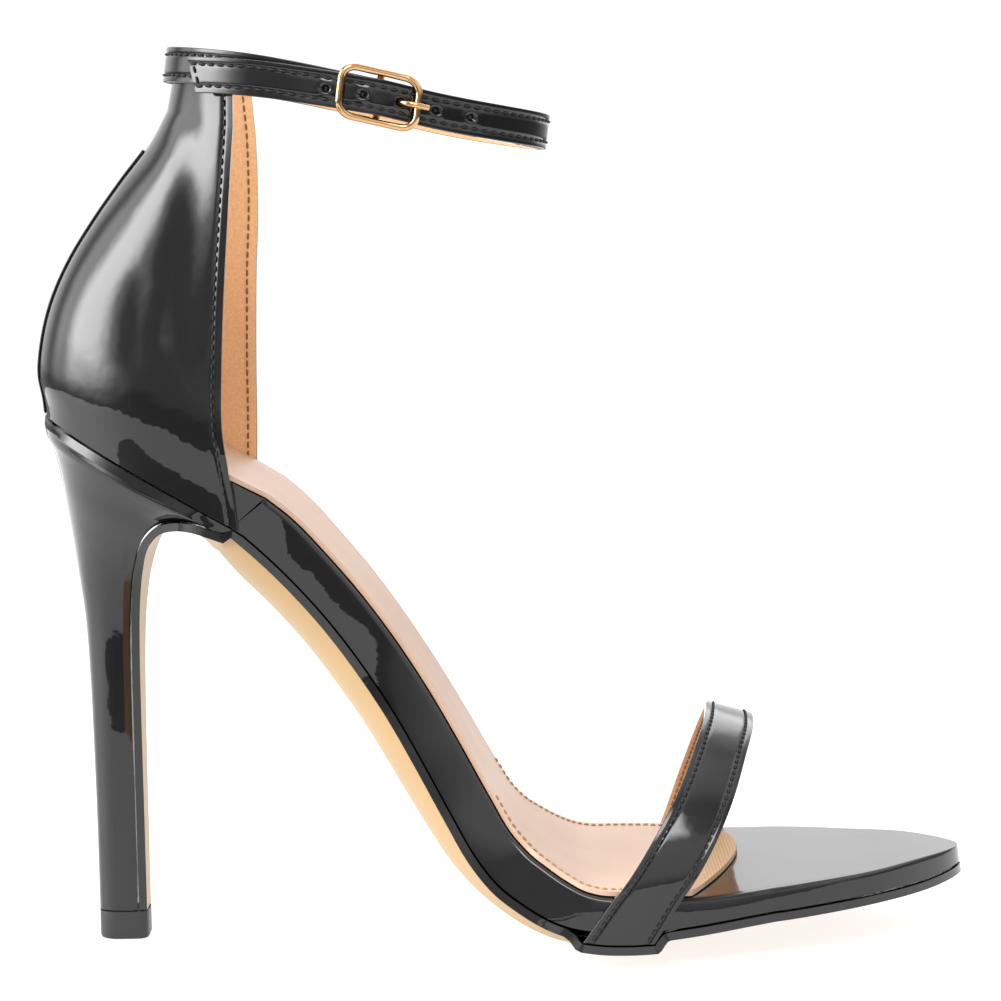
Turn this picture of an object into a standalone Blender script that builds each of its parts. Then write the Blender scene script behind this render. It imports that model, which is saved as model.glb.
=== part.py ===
"""Strappy sandal with a stiletto heel, right foot.

The origin is the middle of the heel tip's bottom face, on the floor.
+X runs forward to the toe, +Y to the inner side of the foot and +Z up.
Stations run along the foot, as shares of SOLE_LENGTH. At each one, "across" runs
from -1 at the outer edge of the sole to +1 at its inner edge.
"""
import math
from collections import namedtuple

import bmesh
import bpy
import numpy as np
from mathutils import Matrix

MM = 0.001

# Driving dimensions
SOLE_LENGTH = 190.0 * MM
HEEL_HEIGHT = 118.9 * MM
BALL_WIDTH = 78.0 * MM
SEAT_WIDTH = 54.0 * MM
BAND_THICKNESS = 9.0 * MM
BAND_EDGE_ROUND = 1.1 * MM
SOLE_BULGE = 8.3 * MM
OUTSOLE_THICKNESS = 1.8 * MM
OUTSOLE_LIP = 1.0 * MM
OUTSOLE_STRAP_DIP = 2.3 * MM
INSOLE_THICKNESS = 1.0 * MM
INSOLE_INSET = 1.2 * MM
INSOLE_END = 140.2 * MM
INSOLE_END_ROUND = 8.4 * MM
CLEARANCE = 0.3 * MM

HEEL_TIP_LENGTH = 11.3 * MM
HEEL_TIP_WIDTH = 9.6 * MM
HEEL_TIP_HEIGHT = 6.4 * MM
HEEL_TIP_ROUND = 0.8 * MM
HEEL_LIP_LENGTH = 28.6 * MM

COUNTER_HEIGHT = 73.0 * MM
COUNTER_WALL = 1.6 * MM
COUNTER_BELOW_STRAP_TOP = 1.6 * MM
BACKSTAY_WIDTH = 8.0 * MM
BACKSTAY_THICKNESS = 0.8 * MM

ANKLE_BACK_X = 14.3 * MM
ANKLE_LENGTH = 84.3 * MM
ANKLE_WIDTH = 59.0 * MM
ANKLE_STRAP_WIDTH = 7.6 * MM
ANKLE_STRAP_THICKNESS = 1.6 * MM
TAIL_LENGTH = 39.6 * MM
TAIL_DROP = 1.9 * MM
TAIL_SLANT = 1.7 * MM
TAIL_SLANT_FADE = 5.1 * MM
HOLE_PITCH = 7.6 * MM
HOLE_DIAMETER = 2.1 * MM

BUCKLE_PLACE = 47.9 * MM
BUCKLE_LENGTH = 17.4 * MM
BUCKLE_HEIGHT = 12.0 * MM
BUCKLE_WIRE = 1.6 * MM
BUCKLE_CORNER = 3.0 * MM
PRONG_WIRE = 1.2 * MM
PRONG_OVERHANG = 1.2 * MM
BAR_LIFT = 0.7 * MM

TOE_STRAP_THICKNESS = 1.8 * MM
TOE_STRAP_REAR_RISE = 35.7 * MM
TOE_STRAP_FRONT_RISE = 32.7 * MM
TOE_ARCH_LIFT = 0.5 * MM

# Shape numbers without a unit
BALL_SHARE = 0.60
BEND_START = 0.36
BEND_END = 0.54
TOE_LAST_SHARE = 0.94
TOE_CROWDING = 1.8
SLOPE_STEP = 0.004
LIP_STEP = 0.01
STRAP_FIT = 1.2
BUCKLE_RISE = 1.35
TAIL_SETTLE = 0.8
FRAME_LIFT = 0.8
PRONG_PLACE = 0.50
SEAT_LIP_FIT = 2.5
ACROSS = (-1.0, -0.96, -0.80, -0.55, -0.28, 0.0, 0.28, 0.55, 0.80, 0.96, 1.0)
TOE_ROUND_START = 0.7616
TOE_ROUND_POWER = 1.25
TOE_ROUND_BLUNTNESS = 0.62
INSOLE_SPREAD = 0.56
INSOLE_END_LEAN = 0.30
INSOLE_END_POWER = 1.7
SEAT_NARROWING = 7.0 * MM
STRAP_PRESS_MARGIN = 0.003
STRAP_PRESS_FADE = 0.014
SEAT_POWER = 2.2
HEEL_CORNER_TURN = 0.10
HEEL_TIP_FRONT_POWER = 5.0
HEEL_TIP_BACK_POWER = 2.6
COUNTER_LOW_SHARE = 0.88
COUNTER_STRAP_SHARE = 0.91
BACK_CROWDING = 1.15
BACKSTAY_TOP = 0.87
ANKLE_POWER = 2.4
ANKLE_LEAN = 0.14
TOE_STRAP_POWER = 1.8

# Numbers of rows and columns
SHANK_ROWS = 11
BEND_ROWS = 9
BALL_ROWS = 17
TOE_ROWS = 9
SEAT_ROWS = 9
SOCK_SEAT_ROWS = 8
SOCK_END_ROWS = 8
COUNTER_ROWS = 15
BACKSTAY_ROWS = 14
BACKSTAY_COLUMNS = 5
TOE_STRAP_ROWS = 25
TOE_STRAP_COLUMNS = 5
FRAME_CORNER_POINTS = 5
COUNTER_COLUMNS = 12
STRAP_COLUMNS = 4
STRAP_ROW_PITCH = 3.4 * MM
HALVINGS = 30
TRACK_STEPS = 720
HEEL_SIDE_POINTS = 9
WIRE_SIDES = 2

# Height of the heel's foot just over its tip, as a share of HEEL_HEIGHT
HEEL_FOOT = (HEEL_TIP_HEIGHT + CLEARANCE) / HEEL_HEIGHT

# Lower edge of the midsole from the heel seat to the toe.
# x, centre: shares of SOLE_LENGTH; z: share of HEEL_HEIGHT; half: share of BALL_WIDTH;
# band: share of BAND_THICKNESS; bulge: share of SOLE_BULGE.
SoleRow = namedtuple("SoleRow", "x z centre half band bulge")
SOLE = [
    SoleRow(0.1560, 0.7955, 0.0000, 0.322, 1.00, 0.86),
    SoleRow(0.1790, 0.7614, -0.0015, 0.308, 1.04, 0.95),
    SoleRow(0.2217, 0.6925, -0.0060, 0.292, 1.00, 0.95),
    SoleRow(0.2654, 0.6100, -0.0095, 0.283, 0.97, 0.92),
    SoleRow(0.3006, 0.5310, -0.0115, 0.279, 0.96, 0.90),
    SoleRow(0.3322, 0.4519, -0.0128, 0.286, 0.95, 0.87),
    SoleRow(0.3622, 0.3661, -0.0132, 0.303, 0.96, 0.84),
    SoleRow(0.3954, 0.2669, -0.0128, 0.327, 0.97, 0.79),
    SoleRow(0.4201, 0.1971, -0.0115, 0.355, 0.98, 0.74),
    SoleRow(0.4427, 0.1508, -0.0103, 0.380, 1.02, 0.71),
    SoleRow(0.4741, 0.1121, -0.0085, 0.415, 1.01, 0.76),
    SoleRow(0.5160, 0.0781, -0.0050, 0.456, 0.95, 0.82),
    SoleRow(0.5560, 0.0667, -0.0015, 0.487, 0.84, 0.82),
    SoleRow(0.5921, 0.0643, 0.0012, 0.497, 0.83, 0.80),
    SoleRow(0.6289, 0.0660, 0.0040, 0.498, 0.78, 0.72),
    SoleRow(0.6684, 0.0715, 0.0068, 0.490, 0.68, 0.49),
    SoleRow(0.7337, 0.0829, 0.0118, 0.461, 0.58, 0.36),
    SoleRow(0.8042, 0.0896, 0.0155, 0.387, 0.57, 0.33),
    SoleRow(0.8768, 0.0955, 0.0180, 0.285, 0.55, 0.29),
    SoleRow(0.9537, 0.1031, 0.0220, 0.168, 0.54, 0.22),
    SoleRow(0.9995, 0.1123, 0.0237, 0.000, 0.41, 0.11),
]

# Underside of the outsole from where it leaves the midsole, over the arch and down the heel's front.
# edge_x, middle_x: shares of SOLE_LENGTH; edge_z, middle_z: shares of HEEL_HEIGHT;
# half: share of SEAT_WIDTH.
BreastRow = namedtuple("BreastRow", "edge_x edge_z middle_x middle_z half")
BREAST = [
    BreastRow(0.1400, 0.7735, 0.1170, 0.7470, 0.480),
    BreastRow(0.1200, 0.7840, 0.1060, 0.7700, 0.466),
    BreastRow(0.1030, 0.7914, 0.0965, 0.7865, 0.444),
    BreastRow(0.0850, 0.7935, 0.0832, 0.7920, 0.412),
    BreastRow(0.0665, 0.7872, 0.0662, 0.7868, 0.370),
    BreastRow(0.0537, 0.7695, 0.0535, 0.7693, 0.320),
    BreastRow(0.0450, 0.7460, 0.0449, 0.7459, 0.262),
    BreastRow(0.0395, 0.7165, 0.0395, 0.7165, 0.208),
    BreastRow(0.0347, 0.6775, 0.0347, 0.6775, 0.162),
    BreastRow(0.0308, 0.6140, 0.0308, 0.6140, 0.124),
    BreastRow(0.0288, 0.5200, 0.0288, 0.5200, 0.100),
    BreastRow(0.0282, 0.3800, 0.0282, 0.3800, 0.084),
    BreastRow(0.0282, 0.2300, 0.0282, 0.2300, 0.076),
    BreastRow(0.0282, HEEL_FOOT, 0.0282, HEEL_FOOT, 0.072),
]

# Back of the heel, one row for each row of the outsole that covers its front.
# x: share of SOLE_LENGTH; z: share of HEEL_HEIGHT; half: share of SEAT_WIDTH.
HeelRow = namedtuple("HeelRow", "x z half power")
HEEL_BACK = [
    HeelRow(-0.0774, 0.9845, 0.500, 2.20),
    HeelRow(-0.0740, 0.9610, 0.490, 2.20),
    HeelRow(-0.0680, 0.9410, 0.470, 2.20),
    HeelRow(-0.0635, 0.9170, 0.436, 2.20),
    HeelRow(-0.0595, 0.8860, 0.392, 2.20),
    HeelRow(-0.0558, 0.8480, 0.345, 2.20),
    HeelRow(-0.0520, 0.8050, 0.290, 2.20),
    HeelRow(-0.0472, 0.7500, 0.236, 2.20),
    HeelRow(-0.0421, 0.6850, 0.190, 2.25),
    HeelRow(-0.0368, 0.6100, 0.152, 2.30),
    HeelRow(-0.0337, 0.5100, 0.126, 2.40),
    HeelRow(-0.0318, 0.3750, 0.106, 2.50),
    HeelRow(-0.0305, 0.2250, 0.096, 2.50),
    HeelRow(-0.0300, HEEL_FOOT, 0.090, 2.50),
]

# Straight line of the heel seat in the side view, from its back to its front.
# x: share of SOLE_LENGTH; z: share of HEEL_HEIGHT.
SeatRow = namedtuple("SeatRow", "x z")
SEAT = [
    SeatRow(-0.0763, 1.0000),
    SeatRow(0.1640, 0.7860),
]

# Counter from the heel seat to just below the ankle strap.
# rise, front_rise: shares of COUNTER_HEIGHT above the heel seat at the back and at the front edge;
# back_x, outer_x, inner_x: shares of SOLE_LENGTH; reach: share of ANKLE_LENGTH; half: share of ANKLE_WIDTH.
CounterRow = namedtuple("CounterRow", "rise back_x outer_x inner_x front_rise reach half power")
COUNTER = [
    CounterRow(0.000, -0.0745, 0.1575, 0.1580, 0.000, 0.529, 0.457, 2.20),
    CounterRow(0.040, -0.0760, 0.1545, 0.1580, 0.065, 0.535, 0.467, 2.20),
    CounterRow(0.110, -0.0805, 0.1490, 0.1590, 0.156, 0.545, 0.475, 2.22),
    CounterRow(0.220, -0.0765, 0.1425, 0.1603, 0.285, 0.539, 0.478, 2.25),
    CounterRow(0.340, -0.0640, 0.1432, 0.1610, 0.441, 0.522, 0.470, 2.28),
    CounterRow(0.460, -0.0425, 0.1460, 0.1625, 0.605, 0.512, 0.464, 2.30),
    CounterRow(0.580, -0.0130, 0.1500, 0.1645, 0.771, 0.505, 0.464, 2.32),
    CounterRow(0.700, 0.0210, 0.1545, 0.1680, 0.933, 0.500, 0.468, 2.35),
    CounterRow(0.820, 0.0570, 0.1585, 0.1692, 1.089, 0.493, 0.468, 2.38),
    CounterRow(0.910, 0.0760, 0.1615, 0.1685, 1.196, 0.484, 0.468, 2.40),
]
COUNTER_TOP_OUTER_SHARE = 0.1650
COUNTER_TOP_INNER_SHARE = 0.1680

# Middle line of the ankle strap in the side view.
# along: share of ANKLE_LENGTH from the back of the strap; rise: share of COUNTER_HEIGHT above HEEL_HEIGHT.
AnkleRow = namedtuple("AnkleRow", "along rise")
ANKLE_LINE = [
    AnkleRow(0.00, 1.054),
    AnkleRow(0.25, 1.013),
    AnkleRow(0.50, 0.950),
    AnkleRow(0.75, 0.880),
    AnkleRow(1.00, 0.826),
]

# Edges of the toe strap over the foot, by turn in degrees from the outer side to the inner side.
# rear_x, front_x: shares of SOLE_LENGTH.
ToeRow = namedtuple("ToeRow", "turn rear_x front_x")
TOE_STRAP = [
    ToeRow(0.0, 0.5770, 0.6560),
    ToeRow(20.0, 0.6181, 0.6905),
    ToeRow(37.0, 0.6504, 0.7147),
    ToeRow(57.0, 0.6764, 0.7350),
    ToeRow(75.0, 0.6919, 0.7485),
    ToeRow(90.0, 0.6968, 0.7515),
    ToeRow(105.0, 0.6988, 0.7511),
    ToeRow(123.0, 0.6952, 0.7484),
    ToeRow(142.0, 0.6844, 0.7432),
    ToeRow(158.0, 0.6712, 0.7368),
    ToeRow(180.0, 0.6508, 0.7289),
]
# Feet of the toe strap beside the midsole, rear and front edge, as shares of SOLE_LENGTH.
OUTER_FOOT = (0.5405, 0.6215)
INNER_FOOT = (0.6405, 0.7142)


def spline(knots, values, position):
    """Value of a smooth curve through the knots, by cubic pieces that share their slopes."""
    knots = np.asarray(knots, dtype=float)
    values = np.asarray(values, dtype=float)
    gaps = np.diff(knots)
    rates = np.diff(values) / gaps
    slopes = np.empty(len(values))
    slopes[1:-1] = (gaps[1:] * rates[:-1] + gaps[:-1] * rates[1:]) / (gaps[1:] + gaps[:-1])
    slopes[0] = rates[0]
    slopes[-1] = rates[-1]
    position = min(max(position, knots[0]), knots[-1])
    piece = min(int(np.searchsorted(knots, position, side="right")) - 1, len(gaps) - 1)
    gap = gaps[piece]
    t = (position - knots[piece]) / gap
    start = values[piece] * (1.0 + 2.0 * t) * (1.0 - t) ** 2 + slopes[piece] * gap * t * (1.0 - t) ** 2
    end = values[piece + 1] * t * t * (3.0 - 2.0 * t) - slopes[piece + 1] * gap * t * t * (1.0 - t)
    return float(start + end)


def column(rows, name):
    """One named column of a table as a list."""
    return [getattr(row, name) for row in rows]


def mix(first, second, share):
    """Value between two numbers or points."""
    return first + (second - first) * share


def bent_sine(angle, power):
    """Sine of an angle in radians, bent to a superellipse of the given power."""
    value = math.sin(angle)
    return math.copysign(abs(value) ** (2.0 / power), value)


def bent_cosine(angle, power):
    """Cosine of an angle in radians, bent to a superellipse of the given power."""
    value = math.cos(angle)
    return math.copysign(abs(value) ** (2.0 / power), value)


def offset_rows(rows, distance):
    """Grid of rows moved along its own normals, which the directions along and across it give."""
    grid = np.array(rows)
    normals = np.cross(np.gradient(grid, axis=0), np.gradient(grid, axis=1))
    normals /= np.linalg.norm(normals, axis=2, keepdims=True)
    return grid + normals * distance


def sole_value(name, share):
    """Column of the sole's table at a share of the sole's length."""
    return spline(column(SOLE, "x"), column(SOLE, name), share)


def sole_half_width(share):
    """Half the midsole's width, with the toe rounded to its tip."""
    if share <= TOE_ROUND_START:
        return sole_value("half", share) * BALL_WIDTH
    start = sole_value("half", TOE_ROUND_START) * BALL_WIDTH
    reach = min((share - TOE_ROUND_START) / (1.0 - TOE_ROUND_START), 1.0)
    return start * (1.0 - reach ** TOE_ROUND_POWER) ** TOE_ROUND_BLUNTNESS


def sole_edge(share, side):
    """Y of the midsole's edge, with side -1 for the outer edge and +1 for the inner one."""
    return sole_value("centre", share) * SOLE_LENGTH + side * sole_half_width(share)


def sole_point(share):
    """Lower edge of the midsole in the side view, and the direction there that points up out of the sole."""
    ahead = min(share + SLOPE_STEP, SOLE[-1].x)
    behind = max(share - SLOPE_STEP, SOLE[0].x)
    rise = (sole_value("z", ahead) - sole_value("z", behind)) * HEEL_HEIGHT
    run = (ahead - behind) * SOLE_LENGTH
    length = math.hypot(rise, run)
    point = np.array((share * SOLE_LENGTH, sole_value("z", share) * HEEL_HEIGHT))
    return point, np.array((-rise / length, run / length))


def sole_shares():
    """Stations along the midsole ahead of the heel seat, closer together at the ball and the toe."""
    shank = np.linspace(SOLE[0].x, BEND_START, SHANK_ROWS)[:-1]
    bend = np.linspace(BEND_START, BEND_END, BEND_ROWS)[:-1]
    ball = np.linspace(BEND_END, TOE_ROUND_START, BALL_ROWS)[:-1]
    reach = np.linspace(0.0, TOE_LAST_SHARE, TOE_ROWS)
    toe = 1.0 - (1.0 - TOE_ROUND_START) * (1.0 - reach) ** TOE_CROWDING
    return list(np.concatenate((shank, bend, ball, toe)))


def strap_press(share, side):
    """How much the toe strap's foot presses on the outsole's edge here, from 0 to 1."""
    rear, front = OUTER_FOOT if side < 0 else INNER_FOOT
    past = max(rear - share, share - front) - STRAP_PRESS_MARGIN
    reach = min(max(past / STRAP_PRESS_FADE, 0.0), 1.0)
    return 1.0 - reach * reach * (3.0 - 2.0 * reach)


def outsole_row(share, dip):
    """Underside of the outsole across one station; a strap foot presses its lip down by dip."""
    point, up = sole_point(share)
    edge = point - up * (OUTSOLE_THICKNESS + CLEARANCE)
    bulge = sole_value("bulge", share) * SOLE_BULGE
    middle = sole_value("centre", share) * SOLE_LENGTH
    half = sole_half_width(share)
    strap_lip = TOE_STRAP_THICKNESS + 2.0 * CLEARANCE
    row = []
    for across in ACROSS:
        side = math.copysign(1.0, across)
        pressed = strap_press(share, side)
        place = edge - up * bulge * (1.0 - across * across)
        z = max(place[1] - dip * pressed * across ** 6, 0.0)
        y = middle + across * half
        row.append((place[0], y, z))
        if abs(across) == 1.0:
            lip = (place[0], y + side * mix(OUTSOLE_LIP, strap_lip, pressed), z)
            row.insert(0 if side < 0 else len(row), lip)
    return row


def breast_row(step):
    """Underside of the outsole across one place of the arch or of the heel's front."""
    value = {name: spline(range(len(BREAST)), column(BREAST, name), step) for name in BreastRow._fields}
    half = value["half"] * SEAT_WIDTH
    edge = np.array((value["edge_x"] * SOLE_LENGTH, value["edge_z"] * HEEL_HEIGHT))
    middle = np.array((value["middle_x"] * SOLE_LENGTH, value["middle_z"] * HEEL_HEIGHT))
    lip = 1.0 + 2.0 * OUTSOLE_LIP / SEAT_WIDTH
    row = []
    for across in (-lip,) + ACROSS + (lip,):
        place = mix(middle, edge, min(across * across, 1.0))
        row.append((place[0], across * half, place[1]))
    return row


def outsole_rows(dip):
    """Underside of the whole outsole from the heel tip, over the arch, to the toe."""
    heel = [breast_row(step) for step in heel_steps()]
    front = [outsole_row(share, dip) for share in sole_shares()]
    return heel + front


def seat_line(x):
    """Height of the heel seat at a length along the foot."""
    back, front = SEAT
    share = (x / SOLE_LENGTH - back.x) / (front.x - back.x)
    return mix(back.z, front.z, share) * HEEL_HEIGHT


def seat_up():
    """Direction in the side view that points straight up out of the heel seat."""
    run = (SEAT[1].x - SEAT[0].x) * SOLE_LENGTH
    rise = (SEAT[1].z - SEAT[0].z) * HEEL_HEIGHT
    length = math.hypot(run, rise)
    return np.array((-rise / length, run / length))


def seat_back():
    """Back end of the heel seat in the side view."""
    return np.array((SEAT[0].x * SOLE_LENGTH, SEAT[0].z * HEEL_HEIGHT))


def ankle_centre_x():
    """Middle of the ankle strap's loop along the foot."""
    return ANKLE_BACK_X + 0.5 * ANKLE_LENGTH


def ankle_height(x):
    """Height of the ankle strap's middle line."""
    along = (x - ANKLE_BACK_X) / ANKLE_LENGTH
    rise = spline(column(ANKLE_LINE, "along"), column(ANKLE_LINE, "rise"), along)
    return HEEL_HEIGHT + rise * COUNTER_HEIGHT


CounterSection = namedtuple("CounterSection", "back_x back_z front_x front_z reach half power")


def low_counter_section(level, side):
    """Section of the counter below the strap, at a level from 0 at the seat to 1."""
    rise = COUNTER[-1].rise * level
    knots = column(COUNTER, "rise")
    value = {name: spline(knots, column(COUNTER, name), rise) for name in CounterRow._fields}
    front_x = (value["outer_x"] if side < 0 else value["inner_x"]) * SOLE_LENGTH
    back_x = value["back_x"] * SOLE_LENGTH
    seat_gap = CLEARANCE / seat_up()[1]
    return CounterSection(
        back_x,
        seat_back()[1] + seat_gap + rise * COUNTER_HEIGHT,
        front_x,
        seat_line(front_x) + seat_gap + value["front_rise"] * COUNTER_HEIGHT,
        value["reach"] * ANKLE_LENGTH,
        value["half"] * ANKLE_WIDTH,
        value["power"],
    )


def top_counter_section(share, side):
    """Section of the counter behind the strap, at a share of the strap's width."""
    lowest = -0.5 * ANKLE_STRAP_WIDTH - CLEARANCE
    highest = 0.5 * ANKLE_STRAP_WIDTH - COUNTER_BELOW_STRAP_TOP
    height = mix(lowest, highest, share)
    inside = ANKLE_STRAP_THICKNESS + CLEARANCE
    reach = 0.5 * ANKLE_LENGTH - inside
    back_x = ankle_centre_x() - reach
    front_x = (COUNTER_TOP_OUTER_SHARE if side < 0 else COUNTER_TOP_INNER_SHARE) * SOLE_LENGTH
    lean = ANKLE_LEAN * height
    return CounterSection(
        back_x + lean,
        ankle_height(back_x) + height,
        front_x + lean,
        ankle_height(front_x) + height,
        reach,
        0.5 * ANKLE_WIDTH - inside,
        ANKLE_POWER,
    )


def counter_section(level, side):
    """Section of the counter at a level from 0 at the heel seat to 1 at its top edge."""
    if level <= COUNTER_LOW_SHARE:
        return low_counter_section(level / COUNTER_LOW_SHARE, side)
    if level >= COUNTER_STRAP_SHARE:
        return top_counter_section((level - COUNTER_STRAP_SHARE) / (1.0 - COUNTER_STRAP_SHARE), side)
    low = low_counter_section(1.0, side)
    high = top_counter_section(0.0, side)
    share = (level - COUNTER_LOW_SHARE) / (COUNTER_STRAP_SHARE - COUNTER_LOW_SHARE)
    return CounterSection(*[mix(a, b, share) for a, b in zip(low, high)])


def counter_point(level, side, share, inset):
    """Point on the counter, from its back seam at share 0 to its front edge at share 1."""
    section = counter_section(level, side)
    reach = section.reach - inset
    back_x = section.back_x + inset
    half = section.half - inset
    flat = min(max(1.0 - (section.front_x - back_x) / reach, 0.0), 1.0)
    angle = math.acos(flat ** (0.5 * section.power)) * share
    x = back_x + reach * (1.0 - bent_cosine(angle, section.power))
    y = side * half * bent_sine(angle, section.power)
    z = mix(section.back_z, section.front_z, (x - section.back_x) / (section.front_x - section.back_x))
    return (x, y, z)


def counter_row(level, inset, columns):
    """Points across the counter from its outer front edge, round the back, to its inner front edge."""
    shares = np.linspace(1.0, 0.0, columns) ** BACK_CROWDING
    outer = [counter_point(level, -1.0, share, inset) for share in shares]
    inner = [counter_point(level, 1.0, share, inset) for share in shares[-2::-1]]
    return outer + inner


def counter_levels(count):
    """Levels of the counter's sections, with three behind the strap."""
    return list(np.linspace(0.0, COUNTER_LOW_SHARE, count)) + list(np.linspace(COUNTER_STRAP_SHARE, 1.0, 3))


def counter_level_at(x, z, side):
    """Level of the counter's section through a place in the side view."""
    low, high = 0.0, 1.0
    for _ in range(HALVINGS):
        level = 0.5 * (low + high)
        section = counter_section(level, side)
        share = (x - section.back_x) / (section.front_x - section.back_x)
        if mix(section.back_z, section.front_z, share) < z:
            low = level
        else:
            high = level
    return 0.5 * (low + high)


def inside_counter(x, z, side, inset):
    """Half-width left inside the counter at a place in the side view."""
    section = counter_section(counter_level_at(x, z, side), side)
    reach = section.reach - inset
    flat = min(max(1.0 - (x - section.back_x - inset) / reach, 0.0), 1.0)
    return (section.half - inset) * (1.0 - flat ** section.power) ** (1.0 / section.power)


def back_of_seat(height, inset):
    """Place just inside the counter's back wall, at a height above the heel seat."""
    up = seat_up()
    seat = seat_back()
    low, high = 0.0, 0.5
    for _ in range(HALVINGS):
        level = 0.5 * (low + high)
        section = counter_section(level, 1.0)
        place = np.array((section.back_x + inset, section.back_z))
        if float(np.dot(place - seat, up)) < height:
            low = level
        else:
            high = level
    down_slope = np.array((up[1], -up[0]))
    return place + down_slope * CLEARANCE


def seat_rows(height, front, inset, front_half, count):
    """Rows across the inside of the counter, parallel to the heel seat, from its back to a place in front.

    The rows narrow to the half-width of the shank just before that place.
    """
    back = back_of_seat(height, inset)
    rows = []
    for turn in np.linspace(0.0, 0.5 * math.pi, count):
        place = mix(back, front, 1.0 - math.cos(turn))
        past = max(1.0 - (front[0] - place[0]) / SEAT_NARROWING, 0.0)
        row = []
        for across in ACROSS:
            side = math.copysign(1.0, across)
            half = inside_counter(place[0], place[1], side, inset)
            half = min(half, mix(half, front_half, past))
            row.append((place[0], across * half, place[1]))
        rows.append(row)
    return rows


def sole_top(share, height):
    """Place in the side view at a height above the upper edge of the midsole."""
    point, up = sole_point(share)
    return point + up * (sole_value("band", share) * BAND_THICKNESS + height)


def midsole_top_row(share):
    """Points across the midsole's top at one station, turned down at both edges."""
    top = sole_top(share, 0.0)
    edge = sole_top(share, -BAND_EDGE_ROUND)
    middle = sole_value("centre", share) * SOLE_LENGTH
    half = sole_half_width(share)
    row = []
    for across in ACROSS:
        place = edge if abs(across) == 1.0 else top
        row.append((place[0], middle + across * half, place[1]))
    return row


def midsole_grids(seat_count):
    """Lower and upper grids of the midsole, from the back of the seat to the toe."""
    inset = COUNTER_WALL + CLEARANCE
    up = seat_up()
    lip = HEEL_LIP_LENGTH + SEAT_LIP_FIT * CLEARANCE
    bottom_front = np.array((lip, seat_line(lip))) + up * CLEARANCE
    top_front = sole_top(SOLE[0].x, 0.0) - np.array((up[1], -up[0])) * CLEARANCE
    seat_band = float(np.dot(top_front - bottom_front, up)) + CLEARANCE
    shares = sole_shares()
    underside = offset_rows(outsole_rows(0.0), OUTSOLE_THICKNESS + CLEARANCE)
    lower_shank = [row[1:-1] for row in underside[-len(shares):]]
    upper_shank = [midsole_top_row(share) for share in shares]
    lower = seat_rows(CLEARANCE, bottom_front, inset, lower_shank[0][-1][1], seat_count)
    upper = seat_rows(seat_band, top_front, inset, upper_shank[0][-1][1], seat_count)
    return lower + lower_shank, upper + upper_shank


def insole_end(across):
    """Share of the sole's length where the insole ends, in one column."""
    return (INSOLE_END - INSOLE_END_ROUND * abs(across - INSOLE_END_LEAN) ** INSOLE_END_POWER) / SOLE_LENGTH


def insole_grid(height, seat_count):
    """Grid of the insole at a height above the midsole, from the back of the seat to its round front end."""
    inset = COUNTER_WALL + CLEARANCE
    up = seat_up()
    front = sole_top(SOLE[0].x, height) - np.array((up[1], -up[0])) * CLEARANCE
    seat = seat_back()
    straight = [share for share in sole_shares() if share < INSOLE_SPREAD]
    shank = [insole_row([share] * len(ACROSS), height) for share in straight]
    seat_height = float(np.dot(front - seat, up))
    rows = seat_rows(seat_height, front, inset, shank[0][-1][1], seat_count) + shank
    spread = np.linspace(0.0, 1.0, SOCK_END_ROWS)
    for part in spread:
        rows.append(insole_row([mix(INSOLE_SPREAD, insole_end(across), part) for across in ACROSS], height))
    return rows


def insole_row(shares, height):
    """Points across the insole, each at its own station."""
    row = []
    for across, share in zip(ACROSS, shares):
        top = sole_top(share, height)
        middle = sole_value("centre", share) * SOLE_LENGTH
        row.append((top[0], middle + across * (sole_half_width(share) - INSOLE_INSET), top[1]))
    return row


def heel_rings():
    """Rings of the heel from its foot to the seat, each with its front first and then round its back."""
    front_rows = offset_rows(outsole_rows(0.0), OUTSOLE_THICKNESS + CLEARANCE)
    steps = heel_steps()
    rings = []
    for front, step in zip(front_rows[:len(steps)], steps):
        row = [tuple(point) for point in front[1:-1]]
        back = [spline(range(len(HEEL_BACK)), column(HEEL_BACK, name), step) for name in HeelRow._fields]
        start = np.array((row[0][0], row[0][2]))
        end = np.array((back[0] * SOLE_LENGTH, back[1] * HEEL_HEIGHT))
        rings.append(row + round_back(start, end, back[2] * SEAT_WIDTH, back[3]))
    lip = np.array((HEEL_LIP_LENGTH, seat_line(HEEL_LIP_LENGTH)))
    half = 0.5 * SEAT_WIDTH
    row = [(lip[0], across * half, lip[1]) for across in ACROSS]
    rings.append(row + round_back(lip, seat_back(), half, SEAT_POWER))
    return rings


def round_back(start, end, half, power):
    """Points from the inner front corner of a heel section round its back to the outer front corner."""
    angles = np.linspace(HEEL_CORNER_TURN, math.pi - HEEL_CORNER_TURN, 2 * HEEL_SIDE_POINTS + 1)
    points = []
    for angle in angles:
        place = mix(start, end, bent_sine(angle, power))
        points.append((place[0], half * bent_cosine(angle, power), place[1]))
    return points


def heel_steps():
    """Places in the tables of the heel from its foot up to the arch, two for each row."""
    last = len(BREAST) - 1
    return list(np.linspace(last, 0.0, 2 * last + 1))


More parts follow.
